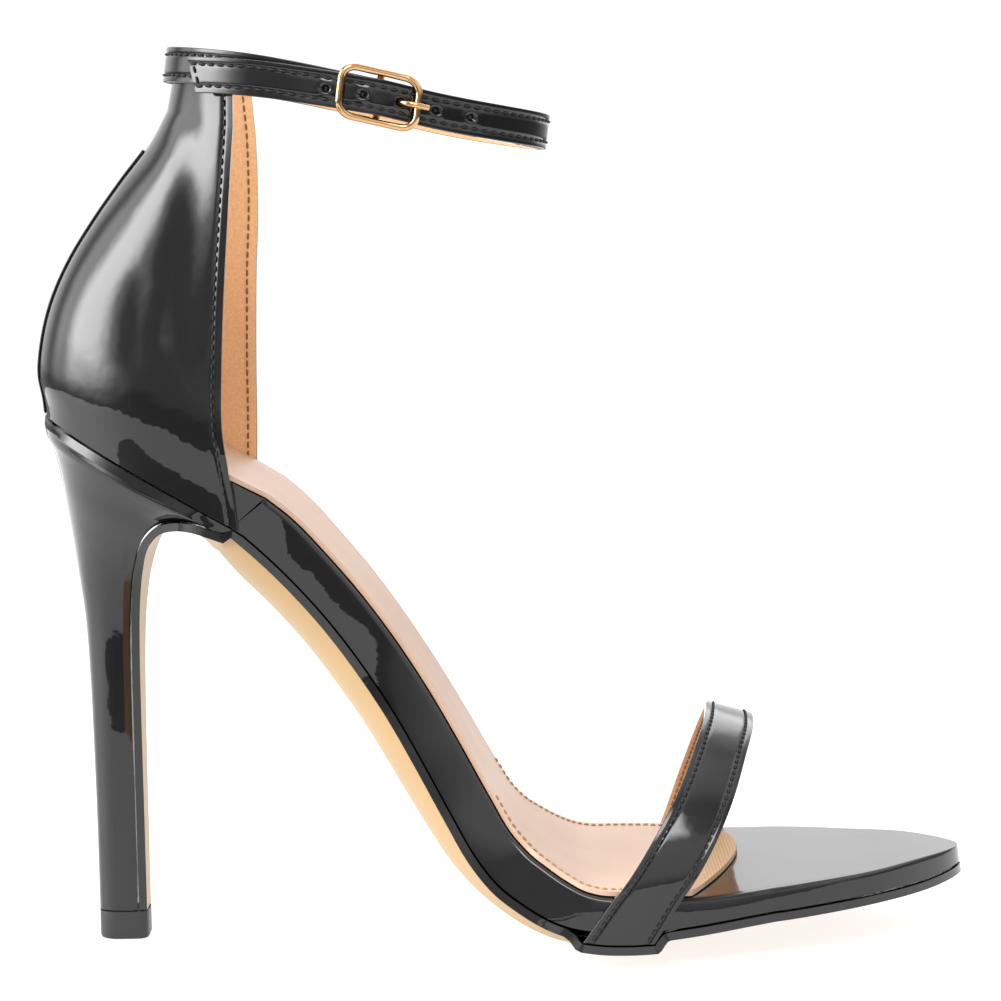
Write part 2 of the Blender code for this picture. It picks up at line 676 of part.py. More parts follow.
def heel_tip_rings():
    """Rings of the heel tip from the floor up, with its bottom edge rounded."""
    levels = [
        (0.0, HEEL_TIP_ROUND),
        (0.3 * HEEL_TIP_ROUND, 0.3 * HEEL_TIP_ROUND),
        (HEEL_TIP_ROUND, 0.0),
        (HEEL_TIP_HEIGHT, 0.0),
    ]
    rings = []
    for z, inset in levels:
        half_length = 0.5 * HEEL_TIP_LENGTH - inset
        half_width = 0.5 * HEEL_TIP_WIDTH - inset
        ring = []
        for angle in np.linspace(0.0, 2.0 * math.pi, 4 * HEEL_SIDE_POINTS, endpoint=False):
            power = HEEL_TIP_FRONT_POWER if math.cos(angle) > 0 else HEEL_TIP_BACK_POWER
            ring.append((half_length * bent_cosine(angle, power), half_width * bent_sine(angle, power), z))
        rings.append(ring)
    return rings


def backstay_grid(offset, columns, count):
    """Grid of the strip over the counter's back seam, at an offset outside the counter."""
    rows = []
    for level in np.linspace(0.0, COUNTER_LOW_SHARE * BACKSTAY_TOP, count):
        section = counter_section(level, 1.0)
        half = section.half + offset
        reach = section.reach + offset
        row = []
        for share in np.linspace(-1.0, 1.0, columns):
            y = share * 0.5 * BACKSTAY_WIDTH
            flat = (1.0 - (abs(y) / half) ** section.power) ** (1.0 / section.power)
            x = section.back_x - offset + reach * (1.0 - flat)
            run = section.front_x - section.back_x
            z = mix(section.back_z, section.front_z, (x - section.back_x) / run)
            row.append((x, y, z))
        rows.append(row)
    return rows


def ankle_radius(turn):
    """Distance from the middle of the ankle strap's loop to the inside of the strap, seen from above."""
    long_half = 0.5 * ANKLE_LENGTH - ANKLE_STRAP_THICKNESS
    wide_half = 0.5 * ANKLE_WIDTH - ANKLE_STRAP_THICKNESS
    along = abs(math.cos(turn) / long_half) ** ANKLE_POWER
    across = abs(math.sin(turn) / wide_half) ** ANKLE_POWER
    return (along + across) ** (-1.0 / ANKLE_POWER)


def ankle_track():
    """Turns round the ankle loop and the lengths along it, from the back toward the outer side."""
    turns = np.linspace(-3.0 * math.pi, 3.0 * math.pi, 3 * TRACK_STEPS + 1)
    radii = np.array([ankle_radius(turn) for turn in turns])
    x = -radii * np.cos(turns)
    y = -radii * np.sin(turns)
    lengths = np.concatenate(([0.0], np.cumsum(np.hypot(np.diff(x), np.diff(y)))))
    return turns, lengths - np.interp(0.0, turns, lengths)


ANKLE_TURNS, ANKLE_LENGTHS = ankle_track()
ANKLE_GIRTH = float(np.interp(2.0 * math.pi, ANKLE_TURNS, ANKLE_LENGTHS))


def ankle_plan(length):
    """Point on the inside of the ankle loop seen from above, at a length along it."""
    turn = float(np.interp(length, ANKLE_LENGTHS, ANKLE_TURNS))
    radius = ankle_radius(turn)
    return np.array((ankle_centre_x() - radius * math.cos(turn), -radius * math.sin(turn)))


def ankle_point(length, height, offset):
    """Point by a length round the ankle, a height over the middle line and an offset outwards."""
    step = 0.2 * MM
    ahead = ankle_plan(length + step)
    behind = ankle_plan(length - step)
    run = (ahead - behind) / np.linalg.norm(ahead - behind)
    outwards = np.array((run[1], -run[0]))
    plan = ankle_plan(length)
    if float(np.dot(outwards, plan - np.array((ankle_centre_x(), 0.0)))) < 0.0:
        outwards = -outwards
    place = plan + outwards * offset
    return (place[0] + ANKLE_LEAN * height, place[1], ankle_height(plan[0]) + height)


def smooth_step(value):
    """Soft rise from 0 to 1."""
    value = min(max(value, 0.0), 1.0)
    return value * value * (3.0 - 2.0 * value)


def buckle_length():
    """Length round the ankle from its back to the buckle's middle bar."""
    turns = np.linspace(0.0, math.pi, TRACK_STEPS + 1)
    x = [ankle_centre_x() - ankle_radius(turn) * math.cos(turn) for turn in turns]
    turn = float(np.interp(ANKLE_BACK_X + BUCKLE_PLACE, x, turns))
    return float(np.interp(turn, ANKLE_TURNS, ANKLE_LENGTHS))


def bar_offset():
    """Offset of the buckle's middle bar from the inside of the strap."""
    return 0.5 * BUCKLE_WIRE + BAR_LIFT


def tail_offset():
    """Offset of the strap's tail, which lies over the strap's first turn."""
    return ANKLE_STRAP_THICKNESS + STRAP_FIT * CLEARANCE


def over_bar_offset():
    """Offset of the strap where it passes over the buckle's middle bar."""
    return bar_offset() + 0.5 * BUCKLE_WIRE + STRAP_FIT * CLEARANCE


def strap_offset(ahead):
    """Offset of the strap's inner face, by its length past the buckle's bar toward the tail."""
    rise_length = BUCKLE_RISE * 0.5 * BUCKLE_LENGTH
    if ahead <= 0.0:
        return over_bar_offset() * smooth_step(1.0 + ahead / rise_length)
    settle = smooth_step(ahead / (TAIL_SETTLE * rise_length))
    return mix(over_bar_offset(), tail_offset(), settle)


def strap_drop(ahead):
    """How far the tail has slid down, by its length past the buckle's bar."""
    return TAIL_DROP * min(max(ahead / TAIL_LENGTH, 0.0), 1.0)


def ankle_strap_grids(columns, step_length):
    """Inner and outer grids of the ankle strap, from the buckle's bar, round the ankle, to its tail."""
    start = buckle_length() - 0.5 * BUCKLE_WIRE - CLEARANCE
    total = start + ANKLE_GIRTH - buckle_length() + TAIL_LENGTH
    count = int(round(total / step_length))
    inner = []
    outer = []
    for travelled in np.linspace(0.0, total, count + 1):
        ahead = travelled - (total - TAIL_LENGTH)
        offset = strap_offset(ahead)
        middle = -strap_drop(ahead)
        slant = TAIL_SLANT * smooth_step(1.0 + (ahead - TAIL_LENGTH) / TAIL_SLANT_FADE)
        inner_row = []
        outer_row = []
        for across in np.linspace(-1.0, 1.0, columns):
            height = middle + across * 0.5 * ANKLE_STRAP_WIDTH
            length = start - travelled - across * slant
            inner_row.append(ankle_point(length, height, offset))
            outer_row.append(ankle_point(length, height, offset + ANKLE_STRAP_THICKNESS))
        inner.append(inner_row)
        outer.append(outer_row)
    return inner, outer


def hole_places():
    """Lengths past the buckle's bar toward the tail of the strap's holes, the prong's own first."""
    prong = -PRONG_PLACE * 0.5 * BUCKLE_LENGTH
    return [prong + HOLE_PITCH * number for number in (0, 1, 2, -1, -2)]


def frame_offset(along):
    """Offset of the buckle's frame, by its length from the bar, positive toward the tail."""
    half = 0.5 * (BUCKLE_LENGTH - BUCKLE_WIRE)
    gap = 0.5 * BUCKLE_WIRE + CLEARANCE
    tail_end = strap_offset(half) + ANKLE_STRAP_THICKNESS + gap
    front_end = strap_offset(-half) + ANKLE_STRAP_THICKNESS + gap
    middle = bar_offset() + FRAME_LIFT * BUCKLE_WIRE
    share = along / half
    tilt = 0.5 * (tail_end - front_end)
    bow = 0.5 * (tail_end + front_end) - middle
    return middle + tilt * share + bow * share ** 2


def frame_path(count):
    """Points along the middle of the buckle's frame, a rectangle with round corners."""
    half_length = 0.5 * (BUCKLE_LENGTH - BUCKLE_WIRE)
    half_height = 0.5 * (BUCKLE_HEIGHT - BUCKLE_WIRE)
    radius = BUCKLE_CORNER
    corners = [(1, 1, 0.0), (-1, 1, 90.0), (-1, -1, 180.0), (1, -1, 270.0)]
    points = []
    for along_side, height_side, first in corners:
        for turn in np.linspace(0.0, 90.0, count):
            angle = math.radians(first + turn)
            along = along_side * (half_length - radius) + radius * math.cos(angle)
            height = height_side * (half_height - radius) + radius * math.sin(angle)
            points.append((along, height))
    return points


def wire_mesh(name, points, cyclic, diameter, collection):
    """Mesh object of a round wire through points."""
    curve = bpy.data.curves.new(name, "CURVE")
    curve.dimensions = "3D"
    curve.bevel_depth = 0.5 * diameter
    curve.bevel_resolution = WIRE_SIDES
    curve.use_fill_caps = True
    line = curve.splines.new("POLY")
    line.points.add(len(points) - 1)
    for point, place in zip(line.points, points):
        point.co = (*place, 1.0)
    line.use_cyclic_u = cyclic
    wire = bpy.data.objects.new(name, curve)
    collection.objects.link(wire)
    bpy.context.view_layer.update()
    evaluated = wire.evaluated_get(bpy.context.evaluated_depsgraph_get())
    mesh = bpy.data.meshes.new_from_object(evaluated)
    shape = bmesh.new()
    shape.from_mesh(mesh)
    bmesh.ops.remove_doubles(shape, verts=shape.verts, dist=0.01 * MM)
    shape.to_mesh(mesh)
    shape.free()
    part = bpy.data.objects.new(name, mesh)
    part.matrix_world = wire.matrix_world
    collection.objects.link(part)
    bpy.data.objects.remove(wire, do_unlink=True)
    part.name = name
    return part


def toe_strap_x(turn, part):
    """X on the toe strap at a turn over the foot and a share from its rear edge to its front edge."""
    turns = column(TOE_STRAP, "turn")
    rear = spline(turns, column(TOE_STRAP, "rear_x"), turn)
    front = spline(turns, column(TOE_STRAP, "front_x"), turn)
    return mix(rear, front, part) * SOLE_LENGTH


def toe_strap_side(x, side):
    """Y of the toe strap's outer face beside the midsole."""
    return sole_edge(x / SOLE_LENGTH, side) + side * (CLEARANCE + TOE_STRAP_THICKNESS)


def toe_strap_base(share, side):
    """Height of the strap's foot, just over the outsole's pressed lip."""
    nearby = [outsole_row(place, OUTSOLE_STRAP_DIP) for place in (share - LIP_STEP, share, share + LIP_STEP)]
    top = offset_rows(nearby, OUTSOLE_THICKNESS)[1]
    lip = top[0] if side < 0 else top[-1]
    return float(lip[2]) + CLEARANCE


def toe_strap_rows(columns, count):
    """Outer face of the toe strap, from its foot at the outer side, over the toes, to its inner foot."""
    arch_z = float(sole_top(BALL_SHARE, 0.0)[1]) + TOE_ARCH_LIFT
    rows = []
    for foot, side, turn in ((OUTER_FOOT, -1.0, 0.0), (INNER_FOOT, 1.0, 180.0)):
        leg = []
        for level in (0.0, 0.5):
            row = []
            for part in np.linspace(0.0, 1.0, columns):
                share = mix(foot[0], foot[1], part)
                x = mix(share * SOLE_LENGTH, toe_strap_x(turn, part), level)
                z = mix(toe_strap_base(share, side), arch_z, level)
                row.append((x, toe_strap_side(x, side), z))
            leg.append(row)
        rows.append(leg)
    arch = []
    for turn in np.linspace(0.0, 180.0, count):
        angle = math.radians(turn)
        row = []
        for part in np.linspace(0.0, 1.0, columns):
            outer = toe_strap_side(toe_strap_x(0.0, part), -1.0)
            inner = toe_strap_side(toe_strap_x(180.0, part), 1.0)
            rise = mix(TOE_STRAP_REAR_RISE, TOE_STRAP_FRONT_RISE, part)
            y = 0.5 * (outer + inner) - 0.5 * (inner - outer) * bent_cosine(angle, TOE_STRAP_POWER)
            z = arch_z + rise * bent_sine(angle, TOE_STRAP_POWER)
            row.append((toe_strap_x(turn, part), y, z))
        arch.append(row)
    return rows[0] + arch + rows[1][::-1]


def make_material(name, colour, roughness, metallic=0.0):
    """Principled material with a plain colour."""
    material = bpy.data.materials.new(name)
    material.use_nodes = True
    shader = material.node_tree.nodes["Principled BSDF"]
    shader.inputs["Base Color"].default_value = (*colour, 1.0)
    shader.inputs["Roughness"].default_value = roughness
    shader.inputs["Metallic"].default_value = metallic
    material.diffuse_color = (*colour, 1.0)
    return material


def finish_mesh(name, shape, material, collection):
    """Object made from a bmesh, with its faces pointing out and its soft edges shaded smooth."""
    bmesh.ops.recalc_face_normals(shape, faces=shape.faces)
    mesh = bpy.data.meshes.new(name)
    shape.to_mesh(mesh)
    shape.free()
    mesh.shade_smooth()
    mesh.set_sharp_from_angle(angle=math.radians(40.0))
    mesh.materials.append(material)
    part = bpy.data.objects.new(name, mesh)
    collection.objects.link(part)
    return part


def sheet(name, lower, upper, material, collection):
    """Closed solid between two grids of points with the same rows and columns."""
    shape = bmesh.new()
    low = [[shape.verts.new(point) for point in row] for row in lower]
    high = [[shape.verts.new(point) for point in row] for row in upper]
    last_row = len(low) - 1
    last_column = len(low[0]) - 1
    for i in range(last_row):
        for j in range(last_column):
            shape.faces.new((low[i][j], low[i + 1][j], low[i + 1][j + 1], low[i][j + 1]))
            shape.faces.new((high[i][j], high[i][j + 1], high[i + 1][j + 1], high[i + 1][j]))
        for j in (0, last_column):
            shape.faces.new((low[i][j], high[i][j], high[i + 1][j], low[i + 1][j]))
    for j in range(last_column):
        for i in (0, last_row):
            shape.faces.new((low[i][j], low[i][j + 1], high[i][j + 1], high[i][j]))
    return finish_mesh(name, shape, material, collection)


def loft(name, rings, material, collection):
    """Closed solid through rings with the same number of points, capped at both ends."""
    shape = bmesh.new()
    loops = [[shape.verts.new(point) for point in ring] for ring in rings]
    count = len(loops[0])
    for first, second in zip(loops, loops[1:]):
        for i in range(count):
            j = (i + 1) % count
            shape.faces.new((first[i], first[j], second[j], second[i]))
    shape.faces.new(list(reversed(loops[0])))
    shape.faces.new(loops[-1])
    return finish_mesh(name, shape, material, collection)


def cut_holes(strap, cutters):
    """Round holes through one thickness of the ankle strap, under the prong and for other fits."""
    for number, ahead in enumerate(hole_places()):
        length = buckle_length() - ahead
        height = -strap_drop(ahead)
        offset = strap_offset(ahead)
        inside = ankle_point(length, height, offset - 0.6 * CLEARANCE)
        outside = ankle_point(length, height, offset + 2.0 * ANKLE_STRAP_THICKNESS)
        axis = np.array(outside) - np.array(inside)
        depth = float(np.linalg.norm(axis))
        bpy.ops.mesh.primitive_cylinder_add(vertices=12, radius=0.5 * HOLE_DIAMETER, depth=depth)
        cutter = bpy.context.object
        cutter.name = f"hole_{number + 1}"
        turn = math.atan2(axis[1], axis[0])
        lean = math.acos(axis[2] / depth)
        middle = 0.5 * (np.array(outside) + np.array(inside))
        turned = Matrix.Rotation(turn, 4, "Z") @ Matrix.Rotation(lean, 4, "Y")
        cutter.matrix_world = Matrix.Translation(middle.tolist()) @ turned
        for home in list(cutter.users_collection):
            home.objects.unlink(cutter)
        cutters.objects.link(cutter)
        cutter.hide_render = True
        cutter.display_type = "WIRE"
        cut = strap.modifiers.new(cutter.name, "BOOLEAN")
        cut.operation = "DIFFERENCE"
        cut.solver = "EXACT"
        cut.object = cutter


def make_buckle(material, parts, cutters):
    """Frame of the buckle with its middle bar, as one solid."""
    bar_length = buckle_length()
    outline = frame_path(FRAME_CORNER_POINTS)
    path = [ankle_point(bar_length - along, height, frame_offset(along)) for along, height in outline]
    frame = wire_mesh("buckle_frame", path, True, BUCKLE_WIRE, parts)
    half = 0.5 * (BUCKLE_HEIGHT - BUCKLE_WIRE)
    drop = frame_offset(0.0) - bar_offset()
    heights = [(-1.0, 0.55), (-0.80, 0.12), (-0.70, 0.0), (0.70, 0.0), (0.80, 0.12), (1.0, 0.55)]
    bar = [ankle_point(bar_length, share * half, bar_offset() + lift * drop) for share, lift in heights]
    cross = wire_mesh("buckle_bar", bar, False, BUCKLE_WIRE, cutters)
    cross.hide_render = True
    cross.display_type = "WIRE"
    join = frame.modifiers.new("middle_bar", "BOOLEAN")
    join.operation = "UNION"
    join.solver = "EXACT"
    join.object = cross
    frame.data.shade_smooth()
    frame.data.materials.append(material)
    return frame


def make_prong(material, parts):
    """Prong that comes up through the strap's hole and lies over the front bar of the frame."""
    bar_length = buckle_length()
    hole = hole_places()[0]
    half = 0.5 * (BUCKLE_LENGTH - BUCKLE_WIRE)
    surface = strap_offset(hole) + ANKLE_STRAP_THICKNESS
    over = frame_offset(-half) + 0.5 * BUCKLE_WIRE + CLEARANCE + 0.5 * PRONG_WIRE
    low = strap_offset(hole) - CLEARANCE
    route = [
        (hole, low),
        (hole, surface),
        (mix(hole, -half, 0.45), mix(surface, over, 0.75)),
        (-half, over),
        (-half - PRONG_OVERHANG - 0.5 * BUCKLE_WIRE, over - 0.3 * BUCKLE_WIRE),
    ]
    path = [ankle_point(bar_length - along, 0.0, offset) for along, offset in route]
    prong = wire_mesh("buckle_prong", path, False, PRONG_WIRE, parts)
    prong.data.shade_smooth()
    prong.data.materials.append(material)
    return prong


def build():
    """The whole sandal."""
    for item in list(bpy.data.objects):
        bpy.data.objects.remove(item, do_unlink=True)
    parts = bpy.data.collections.new("heeled_sandal")
    cutters = bpy.data.collections.new("cutters")
    bpy.context.scene.collection.children.link(parts)
    bpy.context.scene.collection.children.link(cutters)

    patent = make_material("black_patent", (0.012, 0.012, 0.013), 0.08)
    heel_cover = make_material("heel_patent", (0.014, 0.013, 0.014), 0.10)
    strap_patent = make_material("strap_patent", (0.013, 0.012, 0.013), 0.10)
    trim_patent = make_material("trim_patent", (0.015, 0.014, 0.015), 0.12)
    sole_tan = make_material("tan_sole", (0.80, 0.56, 0.30), 0.45)
    sock_beige = make_material("beige_sock", (0.80, 0.60, 0.47), 0.40)
    tip_rubber = make_material("black_rubber", (0.03, 0.03, 0.032), 0.45)
    gold = make_material("gold_metal", (0.78, 0.50, 0.26), 0.20, 1.0)

    underside = outsole_rows(OUTSOLE_STRAP_DIP)
    sheet("outsole", underside, offset_rows(underside, OUTSOLE_THICKNESS), sole_tan, parts)
    lower, upper = midsole_grids(SEAT_ROWS)
    sheet("midsole", lower, upper, patent, parts)
    sock_low = insole_grid(CLEARANCE, SOCK_SEAT_ROWS)
    sock_high = insole_grid(CLEARANCE + INSOLE_THICKNESS, SOCK_SEAT_ROWS)
    sheet("insole", sock_low, sock_high, sock_beige, parts)
    loft("heel", heel_rings(), heel_cover, parts)
    loft("heel_tip", heel_tip_rings(), tip_rubber, parts)
    levels = counter_levels(COUNTER_ROWS)
    inner_wall = [counter_row(level, COUNTER_WALL, COUNTER_COLUMNS) for level in levels]
    outer_wall = [counter_row(level, 0.0, COUNTER_COLUMNS) for level in levels]
    sheet("counter", inner_wall, outer_wall, patent, parts)
    stay_in = backstay_grid(CLEARANCE, BACKSTAY_COLUMNS, BACKSTAY_ROWS)
    stay_out = backstay_grid(CLEARANCE + BACKSTAY_THICKNESS, BACKSTAY_COLUMNS, BACKSTAY_ROWS)
    sheet("backstay", stay_in, stay_out, trim_patent, parts)
    outer_face = toe_strap_rows(TOE_STRAP_COLUMNS, TOE_STRAP_ROWS)
    sheet("toe_strap", offset_rows(outer_face, TOE_STRAP_THICKNESS), outer_face, strap_patent, parts)
    inner, outer = ankle_strap_grids(STRAP_COLUMNS, STRAP_ROW_PITCH)
    strap = sheet("ankle_strap", inner, outer, strap_patent, parts)
    cut_holes(strap, cutters)
    make_buckle(gold, parts, cutters)
    make_prong(gold, parts)


if __name__ == "__main__":
    build()
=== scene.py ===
"""Looks of the strappy sandal with a stiletto heel.

Each piece is made again from the same sizes as its solid, with finer rows, and then gets
its lining, seams, stitches and finish.
"""
import math
from collections import namedtuple
from functools import lru_cache

import bmesh
import bpy
import numpy as np
from mathutils import Matrix, Vector


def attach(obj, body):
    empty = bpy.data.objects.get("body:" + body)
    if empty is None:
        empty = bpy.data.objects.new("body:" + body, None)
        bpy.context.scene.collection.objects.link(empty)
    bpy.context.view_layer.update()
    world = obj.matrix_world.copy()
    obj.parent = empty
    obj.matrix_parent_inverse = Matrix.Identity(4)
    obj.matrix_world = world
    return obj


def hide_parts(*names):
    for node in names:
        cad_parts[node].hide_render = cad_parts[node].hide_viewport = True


MM = 0.001

# Driving dimensions
SOLE_LENGTH = 190.0 * MM
HEEL_HEIGHT = 118.9 * MM
BALL_WIDTH = 78.0 * MM
SEAT_WIDTH = 54.0 * MM
BAND_THICKNESS = 9.0 * MM
BAND_EDGE_ROUND = 1.1 * MM
SOLE_BULGE = 8.3 * MM
OUTSOLE_THICKNESS = 1.8 * MM
OUTSOLE_LIP = 1.0 * MM
OUTSOLE_STRAP_DIP = 2.3 * MM
INSOLE_THICKNESS = 1.0 * MM
INSOLE_INSET = 1.2 * MM
INSOLE_END = 140.2 * MM
INSOLE_END_ROUND = 8.4 * MM
CLEARANCE = 0.3 * MM

HEEL_TIP_LENGTH = 11.3 * MM
HEEL_TIP_WIDTH = 9.6 * MM
HEEL_TIP_HEIGHT = 6.4 * MM
HEEL_TIP_ROUND = 0.8 * MM
HEEL_LIP_LENGTH = 28.6 * MM

COUNTER_HEIGHT = 73.0 * MM
COUNTER_WALL = 1.6 * MM
SEAT_INSET = COUNTER_WALL + CLEARANCE
SEAT_NARROWING = 7.0 * MM
COUNTER_BELOW_STRAP_TOP = 1.6 * MM
BACKSTAY_WIDTH = 8.0 * MM

ANKLE_BACK_X = 14.3 * MM
ANKLE_LENGTH = 84.3 * MM
ANKLE_WIDTH = 59.0 * MM
ANKLE_STRAP_WIDTH = 7.6 * MM
ANKLE_STRAP_THICKNESS = 1.6 * MM
TAIL_LENGTH = 39.6 * MM
TAIL_DROP = 1.9 * MM
TAIL_SLANT = 1.7 * MM
TAIL_SLANT_FADE = 5.1 * MM
HOLE_PITCH = 7.6 * MM

BUCKLE_PLACE = 47.9 * MM
BUCKLE_LENGTH = 17.4 * MM
BUCKLE_HEIGHT = 12.0 * MM
BUCKLE_WIRE = 1.6 * MM
BUCKLE_CORNER = 3.0 * MM
PRONG_WIRE = 1.2 * MM
PRONG_OVERHANG = 1.2 * MM
BAR_LIFT = 0.7 * MM

TOE_STRAP_THICKNESS = 1.8 * MM
TOE_STRAP_REAR_RISE = 35.7 * MM
TOE_STRAP_FRONT_RISE = 32.7 * MM
TOE_ARCH_LIFT = 0.5 * MM

# Shape numbers without a unit
BALL_SHARE = 0.60
BEND_START = 0.36
BEND_END = 0.54
TOE_LAST_SHARE = 0.96
TOE_CROWDING = 1.8
SLOPE_STEP = 0.004
LIP_STEP = 0.01
STRAP_FIT = 1.2
BUCKLE_RISE = 1.35
TAIL_SETTLE = 0.8
FRAME_LIFT = 0.8
PRONG_PLACE = 0.50
SEAT_LIP_FIT = 2.5
EDGE_COLUMNS = [0.88, 0.93, 0.96, 0.975, 0.988, 0.996, 1.0]
ACROSS = [-share for share in reversed(EDGE_COLUMNS)] + list(np.linspace(-0.80, 0.80, 17)) + EDGE_COLUMNS
TOE_ROUND_START = 0.7616
TOE_ROUND_POWER = 1.25
TOE_ROUND_BLUNTNESS = 0.62
INSOLE_SPREAD = 0.56
INSOLE_END_LEAN = 0.30
INSOLE_END_POWER = 1.7
STRAP_PRESS_MARGIN = 0.003
STRAP_PRESS_FADE = 0.014
STRAP_DIP_POWER = 6
SEAT_POWER = 2.2
MIDSOLE_ROUND_START = 0.96
HEEL_CORNER_TURN = 0.10
HEEL_TIP_FRONT_POWER = 5.0
HEEL_TIP_BACK_POWER = 2.6
HEEL_TIP_FACET = 0.3
COUNTER_LOW_SHARE = 0.88
COUNTER_STRAP_SHARE = 0.91
BACK_CROWDING = 1.15
COUNTER_EDGE_SHARE = 0.93
BACKSTAY_TOP = 0.87
ANKLE_POWER = 2.4
ANKLE_LEAN = 0.14
TOE_STRAP_POWER = 1.8

# Numbers of rows, columns, points and steps
SHANK_ROWS = 31
BEND_ROWS = 31
BALL_ROWS = 61
TOE_ROWS = 41
TIP_ROWS = 3
SEAT_ROWS = 24
SOCK_END_ROWS = 41
COUNTER_ROWS = 110
COUNTER_TOP_ROWS = 3
COUNTER_COLUMNS = 61
COUNTER_EDGE_COLUMNS = 22
BREAST_STEPS = 6
BACKSTAY_ROWS = 80
BACKSTAY_COLUMNS = 13
TOE_STRAP_ROWS = 121
TOE_STRAP_COLUMNS = 61
STRAP_COLUMNS = 33
STRAP_ROW_PITCH = 0.5 * MM
FRAME_CORNER_POINTS = 11
HEEL_SIDE_POINTS = 24
WIRE_SIDES = 5
HALVINGS = 30
TRACK_STEPS = 720
CREASE_STEPS = 60

# Height of the heel's foot just over its tip, as a share of HEEL_HEIGHT
HEEL_FOOT = (HEEL_TIP_HEIGHT + CLEARANCE) / HEEL_HEIGHT

# Lower edge of the midsole from the heel seat to the toe.
# x, centre: shares of SOLE_LENGTH; z: share of HEEL_HEIGHT; half: share of BALL_WIDTH;
# band: share of BAND_THICKNESS; bulge: share of SOLE_BULGE.
SoleRow = namedtuple("SoleRow", "x z centre half band bulge")
SOLE = [
    SoleRow(0.1560, 0.7955, 0.0000, 0.322, 1.00, 0.86),
    SoleRow(0.1790, 0.7614, -0.0015, 0.308, 1.04, 0.95),
    SoleRow(0.2217, 0.6925, -0.0060, 0.292, 1.00, 0.95),
    SoleRow(0.2654, 0.6100, -0.0095, 0.283, 0.97, 0.92),
    SoleRow(0.3006, 0.5310, -0.0115, 0.279, 0.96, 0.90),
    SoleRow(0.3322, 0.4519, -0.0128, 0.286, 0.95, 0.87),
    SoleRow(0.3622, 0.3661, -0.0132, 0.303, 0.96, 0.84),
    SoleRow(0.3954, 0.2669, -0.0128, 0.327, 0.97, 0.79),
    SoleRow(0.4201, 0.1971, -0.0115, 0.355, 0.98, 0.74),
    SoleRow(0.4427, 0.1508, -0.0103, 0.380, 1.02, 0.71),
    SoleRow(0.4741, 0.1121, -0.0085, 0.415, 1.01, 0.76),
    SoleRow(0.5160, 0.0781, -0.0050, 0.456, 0.95, 0.82),
    SoleRow(0.5560, 0.0667, -0.0015, 0.487, 0.84, 0.82),
    SoleRow(0.5921, 0.0643, 0.0012, 0.497, 0.83, 0.80),
    SoleRow(0.6289, 0.0660, 0.0040, 0.498, 0.78, 0.72),
    SoleRow(0.6684, 0.0715, 0.0068, 0.490, 0.68, 0.49),
    SoleRow(0.7337, 0.0829, 0.0118, 0.461, 0.58, 0.36),
    SoleRow(0.8042, 0.0896, 0.0155, 0.387, 0.57, 0.33),
    SoleRow(0.8768, 0.0955, 0.0180, 0.285, 0.55, 0.29),
    SoleRow(0.9537, 0.1031, 0.0220, 0.168, 0.54, 0.22),
    SoleRow(0.9995, 0.1123, 0.0237, 0.000, 0.41, 0.11),
]

# Underside of the outsole from where it leaves the midsole, over the arch and down the heel's front.
# edge_x, middle_x: shares of SOLE_LENGTH; edge_z, middle_z: shares of HEEL_HEIGHT;
# half: share of SEAT_WIDTH.
BreastRow = namedtuple("BreastRow", "edge_x edge_z middle_x middle_z half")
BREAST = [
    BreastRow(0.1400, 0.7735, 0.1170, 0.7470, 0.480),
    BreastRow(0.1200, 0.7840, 0.1060, 0.7700, 0.466),
    BreastRow(0.1030, 0.7914, 0.0965, 0.7865, 0.444),
    BreastRow(0.0850, 0.7935, 0.0832, 0.7920, 0.412),
    BreastRow(0.0665, 0.7872, 0.0662, 0.7868, 0.370),
    BreastRow(0.0537, 0.7695, 0.0535, 0.7693, 0.320),
    BreastRow(0.0450, 0.7460, 0.0449, 0.7459, 0.262),
    BreastRow(0.0395, 0.7165, 0.0395, 0.7165, 0.208),
    BreastRow(0.0347, 0.6775, 0.0347, 0.6775, 0.162),
    BreastRow(0.0308, 0.6140, 0.0308, 0.6140, 0.124),
    BreastRow(0.0288, 0.5200, 0.0288, 0.5200, 0.100),
    BreastRow(0.0282, 0.3800, 0.0282, 0.3800, 0.084),
    BreastRow(0.0282, 0.2300, 0.0282, 0.2300, 0.076),
    BreastRow(0.0282, HEEL_FOOT, 0.0282, HEEL_FOOT, 0.072),
]

# Back of the heel, one row for each row of the outsole that covers its front.
# x: share of SOLE_LENGTH; z: share of HEEL_HEIGHT; half: share of SEAT_WIDTH.
HeelRow = namedtuple("HeelRow", "x z half power")
HEEL_BACK = [
    HeelRow(-0.0774, 0.9845, 0.500, 2.20),
    HeelRow(-0.0740, 0.9610, 0.490, 2.20),
    HeelRow(-0.0680, 0.9410, 0.470, 2.20),
    HeelRow(-0.0635, 0.9170, 0.436, 2.20),
    HeelRow(-0.0595, 0.8860, 0.392, 2.20),
    HeelRow(-0.0558, 0.8480, 0.345, 2.20),
    HeelRow(-0.0520, 0.8050, 0.290, 2.20),
    HeelRow(-0.0472, 0.7500, 0.236, 2.20),
    HeelRow(-0.0421, 0.6850, 0.190, 2.25),
    HeelRow(-0.0368, 0.6100, 0.152, 2.30),
    HeelRow(-0.0337, 0.5100, 0.126, 2.40),
    HeelRow(-0.0318, 0.3750, 0.106, 2.50),
    HeelRow(-0.0305, 0.2250, 0.096, 2.50),
    HeelRow(-0.0300, HEEL_FOOT, 0.090, 2.50),
]

# Straight line of the heel seat in the side view, from its back to its front.
# x: share of SOLE_LENGTH; z: share of HEEL_HEIGHT.
SeatRow = namedtuple("SeatRow", "x z")
SEAT = [
    SeatRow(-0.0763, 1.0000),
    SeatRow(0.1640, 0.7860),
]

